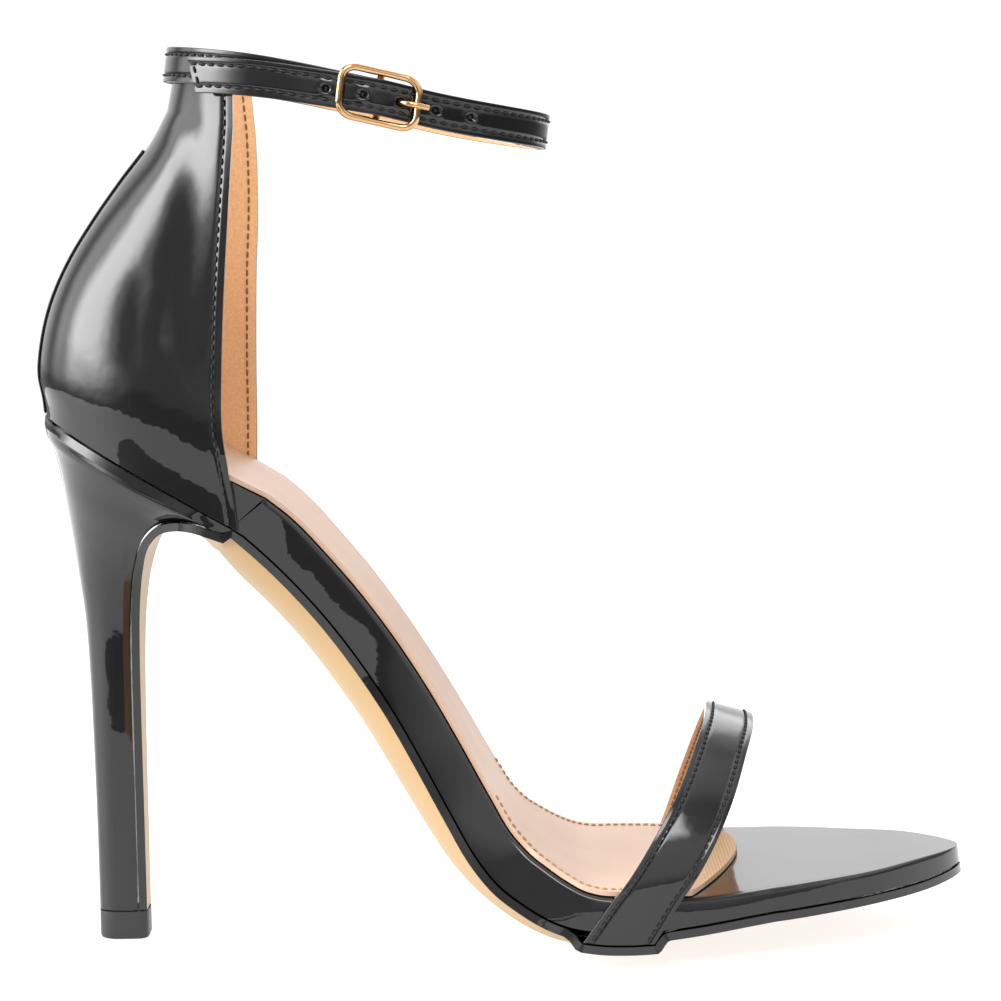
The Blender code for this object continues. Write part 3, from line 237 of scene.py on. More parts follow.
# Counter from the heel seat to just below the ankle strap.
# rise, front_rise: shares of COUNTER_HEIGHT above the heel seat at the back and at the front edge;
# back_x, outer_x, inner_x: shares of SOLE_LENGTH; reach: share of ANKLE_LENGTH; half: share of ANKLE_WIDTH.
CounterRow = namedtuple("CounterRow", "rise back_x outer_x inner_x front_rise reach half power")
COUNTER = [
    CounterRow(0.000, -0.0745, 0.1575, 0.1580, 0.000, 0.529, 0.457, 2.20),
    CounterRow(0.040, -0.0760, 0.1545, 0.1580, 0.065, 0.535, 0.467, 2.20),
    CounterRow(0.110, -0.0805, 0.1490, 0.1590, 0.156, 0.545, 0.475, 2.22),
    CounterRow(0.220, -0.0765, 0.1425, 0.1603, 0.285, 0.539, 0.478, 2.25),
    CounterRow(0.340, -0.0640, 0.1432, 0.1610, 0.441, 0.522, 0.470, 2.28),
    CounterRow(0.460, -0.0425, 0.1460, 0.1625, 0.605, 0.512, 0.464, 2.30),
    CounterRow(0.580, -0.0130, 0.1500, 0.1645, 0.771, 0.505, 0.464, 2.32),
    CounterRow(0.700, 0.0210, 0.1545, 0.1680, 0.933, 0.500, 0.468, 2.35),
    CounterRow(0.820, 0.0570, 0.1585, 0.1692, 1.089, 0.493, 0.468, 2.38),
    CounterRow(0.910, 0.0760, 0.1615, 0.1685, 1.196, 0.484, 0.468, 2.40),
]
COUNTER_TOP_OUTER_SHARE = 0.1650
COUNTER_TOP_INNER_SHARE = 0.1680

# Middle line of the ankle strap in the side view.
# along: share of ANKLE_LENGTH from the back of the strap; rise: share of COUNTER_HEIGHT above HEEL_HEIGHT.
AnkleRow = namedtuple("AnkleRow", "along rise")
ANKLE_LINE = [
    AnkleRow(0.00, 1.054),
    AnkleRow(0.25, 1.013),
    AnkleRow(0.50, 0.950),
    AnkleRow(0.75, 0.880),
    AnkleRow(1.00, 0.826),
]

# Edges of the toe strap over the foot, by turn in degrees from the outer side to the inner side.
# rear_x, front_x: shares of SOLE_LENGTH.
ToeRow = namedtuple("ToeRow", "turn rear_x front_x")
TOE_STRAP = [
    ToeRow(0.0, 0.5770, 0.6560),
    ToeRow(20.0, 0.6181, 0.6905),
    ToeRow(37.0, 0.6504, 0.7147),
    ToeRow(57.0, 0.6764, 0.7350),
    ToeRow(75.0, 0.6919, 0.7485),
    ToeRow(90.0, 0.6968, 0.7515),
    ToeRow(105.0, 0.6988, 0.7511),
    ToeRow(123.0, 0.6952, 0.7484),
    ToeRow(142.0, 0.6844, 0.7432),
    ToeRow(158.0, 0.6712, 0.7368),
    ToeRow(180.0, 0.6508, 0.7289),
]
# Feet of the toe strap beside the midsole, rear and front edge, as shares of SOLE_LENGTH.
OUTER_FOOT = (0.5405, 0.6215)
INNER_FOOT = (0.6405, 0.7142)


def spline(knots, values, position):
    """Value of a smooth curve through the knots, by cubic pieces that share their slopes."""
    knots = np.asarray(knots, dtype=float)
    values = np.asarray(values, dtype=float)
    gaps = np.diff(knots)
    rates = np.diff(values) / gaps
    slopes = np.empty(len(values))
    slopes[1:-1] = (gaps[1:] * rates[:-1] + gaps[:-1] * rates[1:]) / (gaps[1:] + gaps[:-1])
    slopes[0] = rates[0]
    slopes[-1] = rates[-1]
    position = min(max(position, knots[0]), knots[-1])
    piece = min(int(np.searchsorted(knots, position, side="right")) - 1, len(gaps) - 1)
    gap = gaps[piece]
    t = (position - knots[piece]) / gap
    start = values[piece] * (1.0 + 2.0 * t) * (1.0 - t) ** 2 + slopes[piece] * gap * t * (1.0 - t) ** 2
    end = values[piece + 1] * t * t * (3.0 - 2.0 * t) - slopes[piece + 1] * gap * t * t * (1.0 - t)
    return float(start + end)


def column(rows, name):
    """One named column of a table as a list."""
    return [getattr(row, name) for row in rows]


def mix(first, second, share):
    """Value between two numbers or points."""
    return first + (second - first) * share


def row_at(rows, knots, position):
    """Row between the rows of a table, at a position on the knots."""
    return type(rows[0])(*[spline(knots, values, position) for values in zip(*rows)])


def bent(value, power):
    """Sine or cosine of an angle, bent to a superellipse of the given power."""
    return math.copysign(abs(value) ** (2.0 / power), value)


def smooth_step(value):
    """Soft rise from 0 to 1."""
    value = min(max(value, 0.0), 1.0)
    return value * value * (3.0 - 2.0 * value)


def halve(low, high, is_below):
    """Place between low and high where is_below turns from true to false."""
    for _ in range(HALVINGS):
        middle = 0.5 * (low + high)
        if is_below(middle):
            low = middle
        else:
            high = middle
    return 0.5 * (low + high)


def grid_normals(grid):
    """Unit normals of a grid, from the directions along and across it."""
    normals = np.cross(np.gradient(grid, axis=0), np.gradient(grid, axis=1))
    return normals / np.linalg.norm(normals, axis=2, keepdims=True)


def offset_rows(rows, distance):
    """Grid of rows moved along its own normals."""
    grid = np.array(rows)
    return grid + grid_normals(grid) * distance


def sole_value(name, share):
    """Column of the sole's table at a share of the sole's length."""
    return spline(column(SOLE, "x"), column(SOLE, name), share)


def sole_half_width(share):
    """Half the midsole's width, with the toe rounded to its tip."""
    if share <= TOE_ROUND_START:
        return sole_value("half", share) * BALL_WIDTH
    start = sole_value("half", TOE_ROUND_START) * BALL_WIDTH
    reach = min((share - TOE_ROUND_START) / (1.0 - TOE_ROUND_START), 1.0)
    return start * (1.0 - reach ** TOE_ROUND_POWER) ** TOE_ROUND_BLUNTNESS


def sole_edge(share, side):
    """Y of the midsole's edge, with side -1 for the outer edge and +1 for the inner one."""
    return sole_value("centre", share) * SOLE_LENGTH + side * sole_half_width(share)


def sole_point(share):
    """Lower edge of the midsole in the side view, and the direction up out of the sole there."""
    ahead = min(share + SLOPE_STEP, SOLE[-1].x)
    behind = max(share - SLOPE_STEP, SOLE[0].x)
    rise = (sole_value("z", ahead) - sole_value("z", behind)) * HEEL_HEIGHT
    run = (ahead - behind) * SOLE_LENGTH
    length = math.hypot(rise, run)
    point = np.array((share * SOLE_LENGTH, sole_value("z", share) * HEEL_HEIGHT))
    return point, np.array((-rise / length, run / length))


def sole_shares():
    """Stations along the midsole ahead of the heel seat, closer together at the ball and the toe."""
    shank = np.linspace(SOLE[0].x, BEND_START, SHANK_ROWS)[:-1]
    bend = np.linspace(BEND_START, BEND_END, BEND_ROWS)[:-1]
    ball = np.linspace(BEND_END, TOE_ROUND_START, BALL_ROWS)[:-1]
    reach = np.linspace(0.0, TOE_LAST_SHARE, TOE_ROWS)
    toe = 1.0 - (1.0 - TOE_ROUND_START) * (1.0 - reach) ** TOE_CROWDING
    return list(np.concatenate((shank, bend, ball, toe)))


def strap_press(share, side):
    """How much the toe strap's foot presses on the outsole's edge here, from 0 to 1."""
    rear, front = OUTER_FOOT if side < 0 else INNER_FOOT
    past = max(rear - share, share - front) - STRAP_PRESS_MARGIN
    return 1.0 - smooth_step(past / STRAP_PRESS_FADE)


def outsole_row(share, dip):
    """Underside of the outsole across one station; a strap foot presses its lip down by dip."""
    point, up = sole_point(share)
    edge = point - up * (OUTSOLE_THICKNESS + CLEARANCE)
    bulge = sole_value("bulge", share) * SOLE_BULGE
    middle = sole_value("centre", share) * SOLE_LENGTH
    half = sole_half_width(share)
    strap_lip = TOE_STRAP_THICKNESS + 2.0 * CLEARANCE
    row = []
    for across in ACROSS:
        side = math.copysign(1.0, across)
        pressed = strap_press(share, side)
        place = edge - up * bulge * (1.0 - across * across)
        z = max(place[1] - dip * pressed * across ** STRAP_DIP_POWER, 0.0)
        y = middle + across * half
        row.append((place[0], y, z))
        if abs(across) == 1.0:
            lip = (place[0], y + side * mix(OUTSOLE_LIP, strap_lip, pressed), z)
            row.insert(0 if side < 0 else len(row), lip)
    return row


def breast_row(step):
    """Underside of the outsole across one place of the arch or of the heel's front."""
    value = row_at(BREAST, range(len(BREAST)), step)
    half = value.half * SEAT_WIDTH
    edge = np.array((value.edge_x * SOLE_LENGTH, value.edge_z * HEEL_HEIGHT))
    middle = np.array((value.middle_x * SOLE_LENGTH, value.middle_z * HEEL_HEIGHT))
    lip = 1.0 + 2.0 * OUTSOLE_LIP / SEAT_WIDTH
    row = []
    for across in [-lip] + ACROSS + [lip]:
        place = mix(middle, edge, min(across * across, 1.0))
        row.append((place[0], across * half, place[1]))
    return row


def outsole_rows(dip):
    """Underside of the whole outsole from the heel tip, over the arch, to the toe."""
    heel = [breast_row(step) for step in heel_steps()]
    front = [outsole_row(share, dip) for share in sole_shares()]
    return heel + front


def seat_line(x):
    """Height of the heel seat at a length along the foot."""
    back, front = SEAT
    share = (x / SOLE_LENGTH - back.x) / (front.x - back.x)
    return mix(back.z, front.z, share) * HEEL_HEIGHT


def seat_up():
    """Direction in the side view that points straight up out of the heel seat."""
    run = (SEAT[1].x - SEAT[0].x) * SOLE_LENGTH
    rise = (SEAT[1].z - SEAT[0].z) * HEEL_HEIGHT
    length = math.hypot(run, rise)
    return np.array((-rise / length, run / length))


def seat_ahead():
    """Direction in the side view along the heel seat toward the toe."""
    up = seat_up()
    return np.array((up[1], -up[0]))


def seat_back():
    """Back end of the heel seat in the side view."""
    return np.array((SEAT[0].x * SOLE_LENGTH, SEAT[0].z * HEEL_HEIGHT))


def ankle_centre_x():
    """Middle of the ankle strap's loop along the foot."""
    return ANKLE_BACK_X + 0.5 * ANKLE_LENGTH


def ankle_height(x):
    """Height of the ankle strap's middle line."""
    along = (x - ANKLE_BACK_X) / ANKLE_LENGTH
    return HEEL_HEIGHT + row_at(ANKLE_LINE, column(ANKLE_LINE, "along"), along).rise * COUNTER_HEIGHT


CounterSection = namedtuple("CounterSection", "back_x back_z front_x front_z reach half power")


def low_counter_section(level, side):
    """Section of the counter below the strap, at a level from 0 at the seat to 1."""
    rise = COUNTER[-1].rise * level
    value = row_at(COUNTER, column(COUNTER, "rise"), rise)
    front_x = (value.outer_x if side < 0 else value.inner_x) * SOLE_LENGTH
    seat_gap = CLEARANCE / seat_up()[1]
    return CounterSection(
        value.back_x * SOLE_LENGTH,
        seat_back()[1] + seat_gap + rise * COUNTER_HEIGHT,
        front_x,
        seat_line(front_x) + seat_gap + value.front_rise * COUNTER_HEIGHT,
        value.reach * ANKLE_LENGTH,
        value.half * ANKLE_WIDTH,
        value.power,
    )


def top_counter_section(share, side):
    """Section of the counter behind the strap, at a share of the strap's width."""
    lowest = -0.5 * ANKLE_STRAP_WIDTH - CLEARANCE
    highest = 0.5 * ANKLE_STRAP_WIDTH - COUNTER_BELOW_STRAP_TOP
    height = mix(lowest, highest, share)
    inside = ANKLE_STRAP_THICKNESS + CLEARANCE
    reach = 0.5 * ANKLE_LENGTH - inside
    back_x = ankle_centre_x() - reach
    front_x = (COUNTER_TOP_OUTER_SHARE if side < 0 else COUNTER_TOP_INNER_SHARE) * SOLE_LENGTH
    lean = ANKLE_LEAN * height
    return CounterSection(
        back_x + lean,
        ankle_height(back_x) + height,
        front_x + lean,
        ankle_height(front_x) + height,
        reach,
        0.5 * ANKLE_WIDTH - inside,
        ANKLE_POWER,
    )


@lru_cache(maxsize=None)
def counter_section(level, side):
    """Section of the counter at a level from 0 at the heel seat to 1 at its top edge."""
    if level <= COUNTER_LOW_SHARE:
        return low_counter_section(level / COUNTER_LOW_SHARE, side)
    if level >= COUNTER_STRAP_SHARE:
        return top_counter_section((level - COUNTER_STRAP_SHARE) / (1.0 - COUNTER_STRAP_SHARE), side)
    low = low_counter_section(1.0, side)
    high = top_counter_section(0.0, side)
    share = (level - COUNTER_LOW_SHARE) / (COUNTER_STRAP_SHARE - COUNTER_LOW_SHARE)
    return CounterSection(*[mix(a, b, share) for a, b in zip(low, high)])


def counter_point(level, side, share, inset):
    """Point on the counter, from its back seam at share 0 to its front edge at share 1."""
    section = counter_section(level, side)
    reach = section.reach - inset
    back_x = section.back_x + inset
    half = section.half - inset
    flat = min(max(1.0 - (section.front_x - back_x) / reach, 0.0), 1.0)
    angle = math.acos(flat ** (0.5 * section.power)) * share
    x = back_x + reach * (1.0 - bent(math.cos(angle), section.power))
    y = side * half * bent(math.sin(angle), section.power)
    z = mix(section.back_z, section.front_z, (x - section.back_x) / (section.front_x - section.back_x))
    return (x, y, z)


def counter_row(level, inset):
    """Points across the counter from its outer front edge, round the back, to its inner front edge."""
    edge = np.linspace(1.0, COUNTER_EDGE_SHARE, COUNTER_EDGE_COLUMNS)[:-1]
    back = COUNTER_EDGE_SHARE * np.linspace(1.0, 0.0, COUNTER_COLUMNS) ** BACK_CROWDING
    shares = np.concatenate((edge, back))
    outer = [counter_point(level, -1.0, share, inset) for share in shares]
    inner = [counter_point(level, 1.0, share, inset) for share in shares[-2::-1]]
    return outer + inner


def counter_levels():
    """Levels of the counter's sections below the strap and behind it."""
    low = np.linspace(0.0, COUNTER_LOW_SHARE, COUNTER_ROWS)
    return list(low) + list(np.linspace(COUNTER_STRAP_SHARE, 1.0, COUNTER_TOP_ROWS))


def counter_level_at(x, z, side):
    """Level of the counter's section through a place in the side view."""
    def is_below(level):
        section = counter_section(level, side)
        share = (x - section.back_x) / (section.front_x - section.back_x)
        return mix(section.back_z, section.front_z, share) < z

    return halve(0.0, 1.0, is_below)


def inside_counter(x, z, side):
    """Half-width left inside the counter at a place in the side view."""
    section = counter_section(counter_level_at(x, z, side), side)
    reach = section.reach - SEAT_INSET
    flat = min(max(1.0 - (x - section.back_x - SEAT_INSET) / reach, 0.0), 1.0)
    return (section.half - SEAT_INSET) * (1.0 - flat ** section.power) ** (1.0 / section.power)


def back_of_seat(height):
    """Place just inside the counter's back wall, at a height above the heel seat."""
    def back_place(level):
        section = counter_section(level, 1.0)
        return np.array((section.back_x + SEAT_INSET, section.back_z))

    def is_below(level):
        return float(np.dot(back_place(level) - seat_back(), seat_up())) < height

    return back_place(halve(0.0, 0.5, is_below)) + seat_ahead() * CLEARANCE


def seat_rows(height, front, front_half):
    """Rows across the inside of the counter, parallel to the heel seat, from its back to a place in front.

    The rows narrow to the half-width of the shank just before that place.
    """
    back = back_of_seat(height)
    rows = []
    for turn in np.linspace(0.0, 0.5 * math.pi, SEAT_ROWS):
        place = mix(back, front, 1.0 - math.cos(turn))
        past = max(1.0 - (front[0] - place[0]) / SEAT_NARROWING, 0.0)
        row = []
        for across in ACROSS:
            half = inside_counter(place[0], place[1], math.copysign(1.0, across))
            half = min(half, mix(half, front_half, past))
            row.append((place[0], across * half, place[1]))
        rows.append(row)
    return rows


def sole_top(share, height):
    """Place in the side view at a height above the upper edge of the midsole."""
    point, up = sole_point(share)
    return point + up * (sole_value("band", share) * BAND_THICKNESS + height)


def midsole_top_row(share):
    """Points across the midsole's top at one station, turned down at both edges."""
    top = sole_top(share, 0.0)
    edge = sole_top(share, -BAND_EDGE_ROUND)
    middle = sole_value("centre", share) * SOLE_LENGTH
    half = sole_half_width(share)
    row = []
    for across in ACROSS:
        past = min(max(abs(across) - MIDSOLE_ROUND_START, 0.0) / (1.0 - MIDSOLE_ROUND_START), 1.0)
        place = mix(top, edge, 1.0 - math.sqrt(1.0 - past * past))
        row.append((place[0], middle + across * half, place[1]))
    return row


def midsole_grids():
    """Lower and upper grids of the midsole, from the back of the seat to the toe."""
    up = seat_up()
    lip = HEEL_LIP_LENGTH + SEAT_LIP_FIT * CLEARANCE
    bottom_front = np.array((lip, seat_line(lip))) + up * CLEARANCE
    top_front = sole_top(SOLE[0].x, 0.0) - seat_ahead() * CLEARANCE
    seat_band = float(np.dot(top_front - bottom_front, up)) + CLEARANCE
    shares = sole_shares()
    underside = offset_rows(outsole_rows(0.0), OUTSOLE_THICKNESS + CLEARANCE)
    lower_shank = [row[1:-1] for row in underside[-len(shares):]]
    upper_shank = [midsole_top_row(share) for share in shares]
    lower = seat_rows(CLEARANCE, bottom_front, lower_shank[0][-1][1])
    upper = seat_rows(seat_band, top_front, upper_shank[0][-1][1])
    return lower + lower_shank, upper + upper_shank


def insole_end(across):
    """Share of the sole's length where the insole ends, in one column."""
    return (INSOLE_END - INSOLE_END_ROUND * abs(across - INSOLE_END_LEAN) ** INSOLE_END_POWER) / SOLE_LENGTH


def insole_grid(height):
    """Grid of the insole at a height above the midsole, from the back of the seat to its round front end."""
    front = sole_top(SOLE[0].x, height) - seat_ahead() * CLEARANCE
    shares = [share for share in sole_shares() if share < INSOLE_SPREAD]
    shank = [insole_row([share] * len(ACROSS), height) for share in shares]
    rows = seat_rows(float(np.dot(front - seat_back(), seat_up())), front, shank[0][-1][1]) + shank
    for part in np.linspace(0.0, 1.0, SOCK_END_ROWS):
        rows.append(insole_row([mix(INSOLE_SPREAD, insole_end(across), part) for across in ACROSS], height))
    return rows


def insole_row(shares, height):
    """Points across the insole, each at its own station."""
    row = []
    for across, share in zip(ACROSS, shares):
        top = sole_top(share, height)
        middle = sole_value("centre", share) * SOLE_LENGTH
        row.append((top[0], middle + across * (sole_half_width(share) - INSOLE_INSET), top[1]))
    return row


def heel_rings():
    """Rings of the heel from its foot to the seat, each with its front first and then round its back."""
    front_rows = offset_rows(outsole_rows(0.0), OUTSOLE_THICKNESS + CLEARANCE)
    steps = heel_steps()
    rings = []
    for front, step in zip(front_rows[:len(steps)], steps):
        row = [tuple(point) for point in front[1:-1]]
        back = row_at(HEEL_BACK, range(len(HEEL_BACK)), step)
        start = np.array((row[0][0], row[0][2]))
        end = np.array((back.x * SOLE_LENGTH, back.z * HEEL_HEIGHT))
        rings.append(row + round_back(start, end, back.half * SEAT_WIDTH, back.power))
    lip = np.array((HEEL_LIP_LENGTH, seat_line(HEEL_LIP_LENGTH)))
    half = 0.5 * SEAT_WIDTH
    row = [(lip[0], across * half, lip[1]) for across in ACROSS]
    rings.append(row + round_back(lip, seat_back(), half, SEAT_POWER))
    return rings


def round_back(start, end, half, power):
    """Points from the inner front corner of a heel section round its back to the outer front corner."""
    angles = np.linspace(HEEL_CORNER_TURN, math.pi - HEEL_CORNER_TURN, 2 * HEEL_SIDE_POINTS + 1)
    points = []
    for angle in angles:
        place = mix(start, end, bent(math.sin(angle), power))
        points.append((place[0], half * bent(math.cos(angle), power), place[1]))
    return points


def heel_steps():
    """Places in the tables of the heel from its foot up to the arch."""
    last = len(BREAST) - 1
    return list(np.linspace(last, 0.0, BREAST_STEPS * last + 1))


def heel_tip_rings():
    """Rings of the heel tip from the floor up, with its bottom edge rounded."""
    levels = [
        (0.0, HEEL_TIP_ROUND),
        (HEEL_TIP_FACET * HEEL_TIP_ROUND, HEEL_TIP_FACET * HEEL_TIP_ROUND),
        (HEEL_TIP_ROUND, 0.0),
        (HEEL_TIP_HEIGHT, 0.0),
    ]
    rings = []
    for z, inset in levels:
        half_length = 0.5 * HEEL_TIP_LENGTH - inset
        half_width = 0.5 * HEEL_TIP_WIDTH - inset
        ring = []
        for angle in np.linspace(0.0, 2.0 * math.pi, 4 * HEEL_SIDE_POINTS, endpoint=False):
            power = HEEL_TIP_FRONT_POWER if math.cos(angle) > 0 else HEEL_TIP_BACK_POWER
            x = half_length * bent(math.cos(angle), power)
            y = half_width * bent(math.sin(angle), power)
            ring.append((x, y, z))
        rings.append(ring)
    return rings


def backstay_grid(offset):
    """Grid of the strip over the counter's back seam, at an offset outside the counter."""
    rows = []
    for level in np.linspace(0.0, COUNTER_LOW_SHARE * BACKSTAY_TOP, BACKSTAY_ROWS):
        section = counter_section(level, 1.0)
        half = section.half + offset
        reach = section.reach + offset
        row = []
        for share in np.linspace(-1.0, 1.0, BACKSTAY_COLUMNS):
            y = share * 0.5 * BACKSTAY_WIDTH
            flat = (1.0 - (abs(y) / half) ** section.power) ** (1.0 / section.power)
            x = section.back_x - offset + reach * (1.0 - flat)
            run = section.front_x - section.back_x
            z = mix(section.back_z, section.front_z, (x - section.back_x) / run)
            row.append((x, y, z))
        rows.append(row)
    return rows


def ankle_radius(turn):
    """Distance from the middle of the ankle strap's loop to the inside of the strap, seen from above."""
    long_half = 0.5 * ANKLE_LENGTH - ANKLE_STRAP_THICKNESS
    wide_half = 0.5 * ANKLE_WIDTH - ANKLE_STRAP_THICKNESS
    along = abs(math.cos(turn) / long_half) ** ANKLE_POWER
    across = abs(math.sin(turn) / wide_half) ** ANKLE_POWER
    return (along + across) ** (-1.0 / ANKLE_POWER)


def ankle_track():
    """Turns round the ankle loop and the lengths along it, from the back toward the outer side."""
    turns = np.linspace(-3.0 * math.pi, 3.0 * math.pi, 3 * TRACK_STEPS + 1)
    radii = np.array([ankle_radius(turn) for turn in turns])
    x = -radii * np.cos(turns)
    y = -radii * np.sin(turns)
    lengths = np.concatenate(([0.0], np.cumsum(np.hypot(np.diff(x), np.diff(y)))))
    return turns, lengths - np.interp(0.0, turns, lengths)


ANKLE_TURNS, ANKLE_LENGTHS = ankle_track()
ANKLE_GIRTH = float(np.interp(2.0 * math.pi, ANKLE_TURNS, ANKLE_LENGTHS))


def ankle_plan(length):
    """Point on the inside of the ankle loop seen from above, at a length along it."""
    turn = float(np.interp(length, ANKLE_LENGTHS, ANKLE_TURNS))
    radius = ankle_radius(turn)
    return np.array((ankle_centre_x() - radius * math.cos(turn), -radius * math.sin(turn)))


def ankle_point(length, height, offset):
    """Point by a length round the ankle, a height over the middle line and an offset outwards."""
    step = 0.2 * MM
    ahead = ankle_plan(length + step)
    behind = ankle_plan(length - step)
    run = (ahead - behind) / np.linalg.norm(ahead - behind)
    outwards = np.array((run[1], -run[0]))
    plan = ankle_plan(length)
    if float(np.dot(outwards, plan - np.array((ankle_centre_x(), 0.0)))) < 0.0:
        outwards = -outwards
    place = plan + outwards * offset
    return (place[0] + ANKLE_LEAN * height, place[1], ankle_height(plan[0]) + height)


def buckle_length():
    """Length round the ankle from its back to the buckle's middle bar."""
    turns = np.linspace(0.0, math.pi, TRACK_STEPS + 1)
    x = [ankle_centre_x() - ankle_radius(turn) * math.cos(turn) for turn in turns]
    turn = float(np.interp(ANKLE_BACK_X + BUCKLE_PLACE, x, turns))
    return float(np.interp(turn, ANKLE_TURNS, ANKLE_LENGTHS))


def bar_offset():
    """Offset of the buckle's middle bar from the inside of the strap."""
    return 0.5 * BUCKLE_WIRE + BAR_LIFT


def tail_offset():
    """Offset of the strap's tail, which lies over the strap's first turn."""
    return ANKLE_STRAP_THICKNESS + STRAP_FIT * CLEARANCE


def over_bar_offset():
    """Offset of the strap where it passes over the buckle's middle bar."""
    return bar_offset() + 0.5 * BUCKLE_WIRE + STRAP_FIT * CLEARANCE


def strap_offset(ahead):
    """Offset of the strap's inner face, by its length past the buckle's bar toward the tail."""
    rise_length = BUCKLE_RISE * 0.5 * BUCKLE_LENGTH
    if ahead <= 0.0:
        return over_bar_offset() * smooth_step(1.0 + ahead / rise_length)
    settle = smooth_step(ahead / (TAIL_SETTLE * rise_length))
    return mix(over_bar_offset(), tail_offset(), settle)


def strap_drop(ahead):
    """How far the tail has slid down, by its length past the buckle's bar."""
    return TAIL_DROP * min(max(ahead / TAIL_LENGTH, 0.0), 1.0)


def ankle_strap_grids():
    """Inner and outer grids of the ankle strap, from the buckle's bar, round the ankle, to its tail."""
    start = buckle_length() - 0.5 * BUCKLE_WIRE - CLEARANCE
    total = start + ANKLE_GIRTH - buckle_length() + TAIL_LENGTH
    count = int(round(total / STRAP_ROW_PITCH))
    inner = []
    outer = []
    for travelled in np.linspace(0.0, total, count + 1):
        ahead = travelled - (total - TAIL_LENGTH)
        offset = strap_offset(ahead)
        middle = -strap_drop(ahead)
        slant = TAIL_SLANT * smooth_step(1.0 + (ahead - TAIL_LENGTH) / TAIL_SLANT_FADE)
        inner_row = []
        outer_row = []
        for across in np.linspace(-1.0, 1.0, STRAP_COLUMNS):
            height = middle + across * 0.5 * ANKLE_STRAP_WIDTH
            length = start - travelled - across * slant
            inner_row.append(ankle_point(length, height, offset))
            outer_row.append(ankle_point(length, height, offset + ANKLE_STRAP_THICKNESS))
        inner.append(inner_row)
        outer.append(outer_row)
    return np.array(inner), np.array(outer)


def hole_places():
    """Lengths past the buckle's bar toward the tail of the strap's holes, the prong's own first."""
    prong = -PRONG_PLACE * 0.5 * BUCKLE_LENGTH
    return [prong + HOLE_PITCH * number for number in (0, 1, 2, -1, -2)]


def frame_offset(along):
    """Offset of the buckle's frame, by its length from the bar, positive toward the tail."""
    half = 0.5 * (BUCKLE_LENGTH - BUCKLE_WIRE)
    gap = 0.5 * BUCKLE_WIRE + CLEARANCE
    tail_end = strap_offset(half) + ANKLE_STRAP_THICKNESS + gap
    front_end = strap_offset(-half) + ANKLE_STRAP_THICKNESS + gap
    middle = bar_offset() + FRAME_LIFT * BUCKLE_WIRE
    share = along / half
    tilt = 0.5 * (tail_end - front_end)
    bow = 0.5 * (tail_end + front_end) - middle
    return middle + tilt * share + bow * share ** 2


def frame_path():
    """Points along the middle of the buckle's frame, a rectangle with round corners."""
    half_length = 0.5 * (BUCKLE_LENGTH - BUCKLE_WIRE)
    half_height = 0.5 * (BUCKLE_HEIGHT - BUCKLE_WIRE)
    radius = BUCKLE_CORNER
    corners = [(1, 1, 0.0), (-1, 1, 90.0), (-1, -1, 180.0), (1, -1, 270.0)]
    points = []
    for along_side, height_side, first in corners:
        for turn in np.linspace(0.0, 90.0, FRAME_CORNER_POINTS):
            angle = math.radians(first + turn)
            along = along_side * (half_length - radius) + radius * math.cos(angle)
            height = height_side * (half_height - radius) + radius * math.sin(angle)
            points.append((along, height))
    return points


def toe_strap_x(turn, part):
    """X on the toe strap at a turn over the foot and a share from its rear edge to its front edge."""
    edges = row_at(TOE_STRAP, column(TOE_STRAP, "turn"), turn)
    return mix(edges.rear_x, edges.front_x, part) * SOLE_LENGTH


def toe_strap_side(x, side):
    """Y of the toe strap's outer face beside the midsole."""
    return sole_edge(x / SOLE_LENGTH, side) + side * (CLEARANCE + TOE_STRAP_THICKNESS)


def toe_strap_base(share, side):
    """Height of the strap's foot, just over the outsole's pressed lip."""
    places = (share - LIP_STEP, share, share + LIP_STEP)
    nearby = [outsole_row(place, OUTSOLE_STRAP_DIP) for place in places]
    top = offset_rows(nearby, OUTSOLE_THICKNESS)[1]
    lip = top[0] if side < 0 else top[-1]
    return float(lip[2]) + CLEARANCE


def toe_strap_foot(foot, side, turn, level, arch_z):
    """Row of the toe strap beside the midsole, at a level from 0 at its foot to 1 at the arch."""
    row = []
    for part in np.linspace(0.0, 1.0, TOE_STRAP_COLUMNS):
        share = mix(foot[0], foot[1], part)
        x = mix(share * SOLE_LENGTH, toe_strap_x(turn, part), level)
        z = mix(toe_strap_base(share, side), arch_z, level)
        row.append((x, toe_strap_side(x, side), z))
    return row


def toe_strap_rows():
    """Outer face of the toe strap, from its foot at the outer side, over the toes, to its inner foot."""
    arch_z = float(sole_top(BALL_SHARE, 0.0)[1]) + TOE_ARCH_LIFT
    outer_foot = [toe_strap_foot(OUTER_FOOT, -1.0, 0.0, level, arch_z) for level in (0.0, 0.5)]
    inner_foot = [toe_strap_foot(INNER_FOOT, 1.0, 180.0, level, arch_z) for level in (0.5, 0.0)]
    arch = []
    for turn in np.linspace(0.0, 180.0, TOE_STRAP_ROWS):
        angle = math.radians(turn)
        row = []
        for part in np.linspace(0.0, 1.0, TOE_STRAP_COLUMNS):
            outer = toe_strap_side(toe_strap_x(0.0, part), -1.0)
            inner = toe_strap_side(toe_strap_x(180.0, part), 1.0)
            rise = mix(TOE_STRAP_REAR_RISE, TOE_STRAP_FRONT_RISE, part)
            y = 0.5 * (outer + inner) - 0.5 * (inner - outer) * bent(math.cos(angle), TOE_STRAP_POWER)
            z = arch_z + rise * bent(math.sin(angle), TOE_STRAP_POWER)
            row.append((toe_strap_x(turn, part), y, z))
        arch.append(row)
    return outer_foot + arch + inner_foot


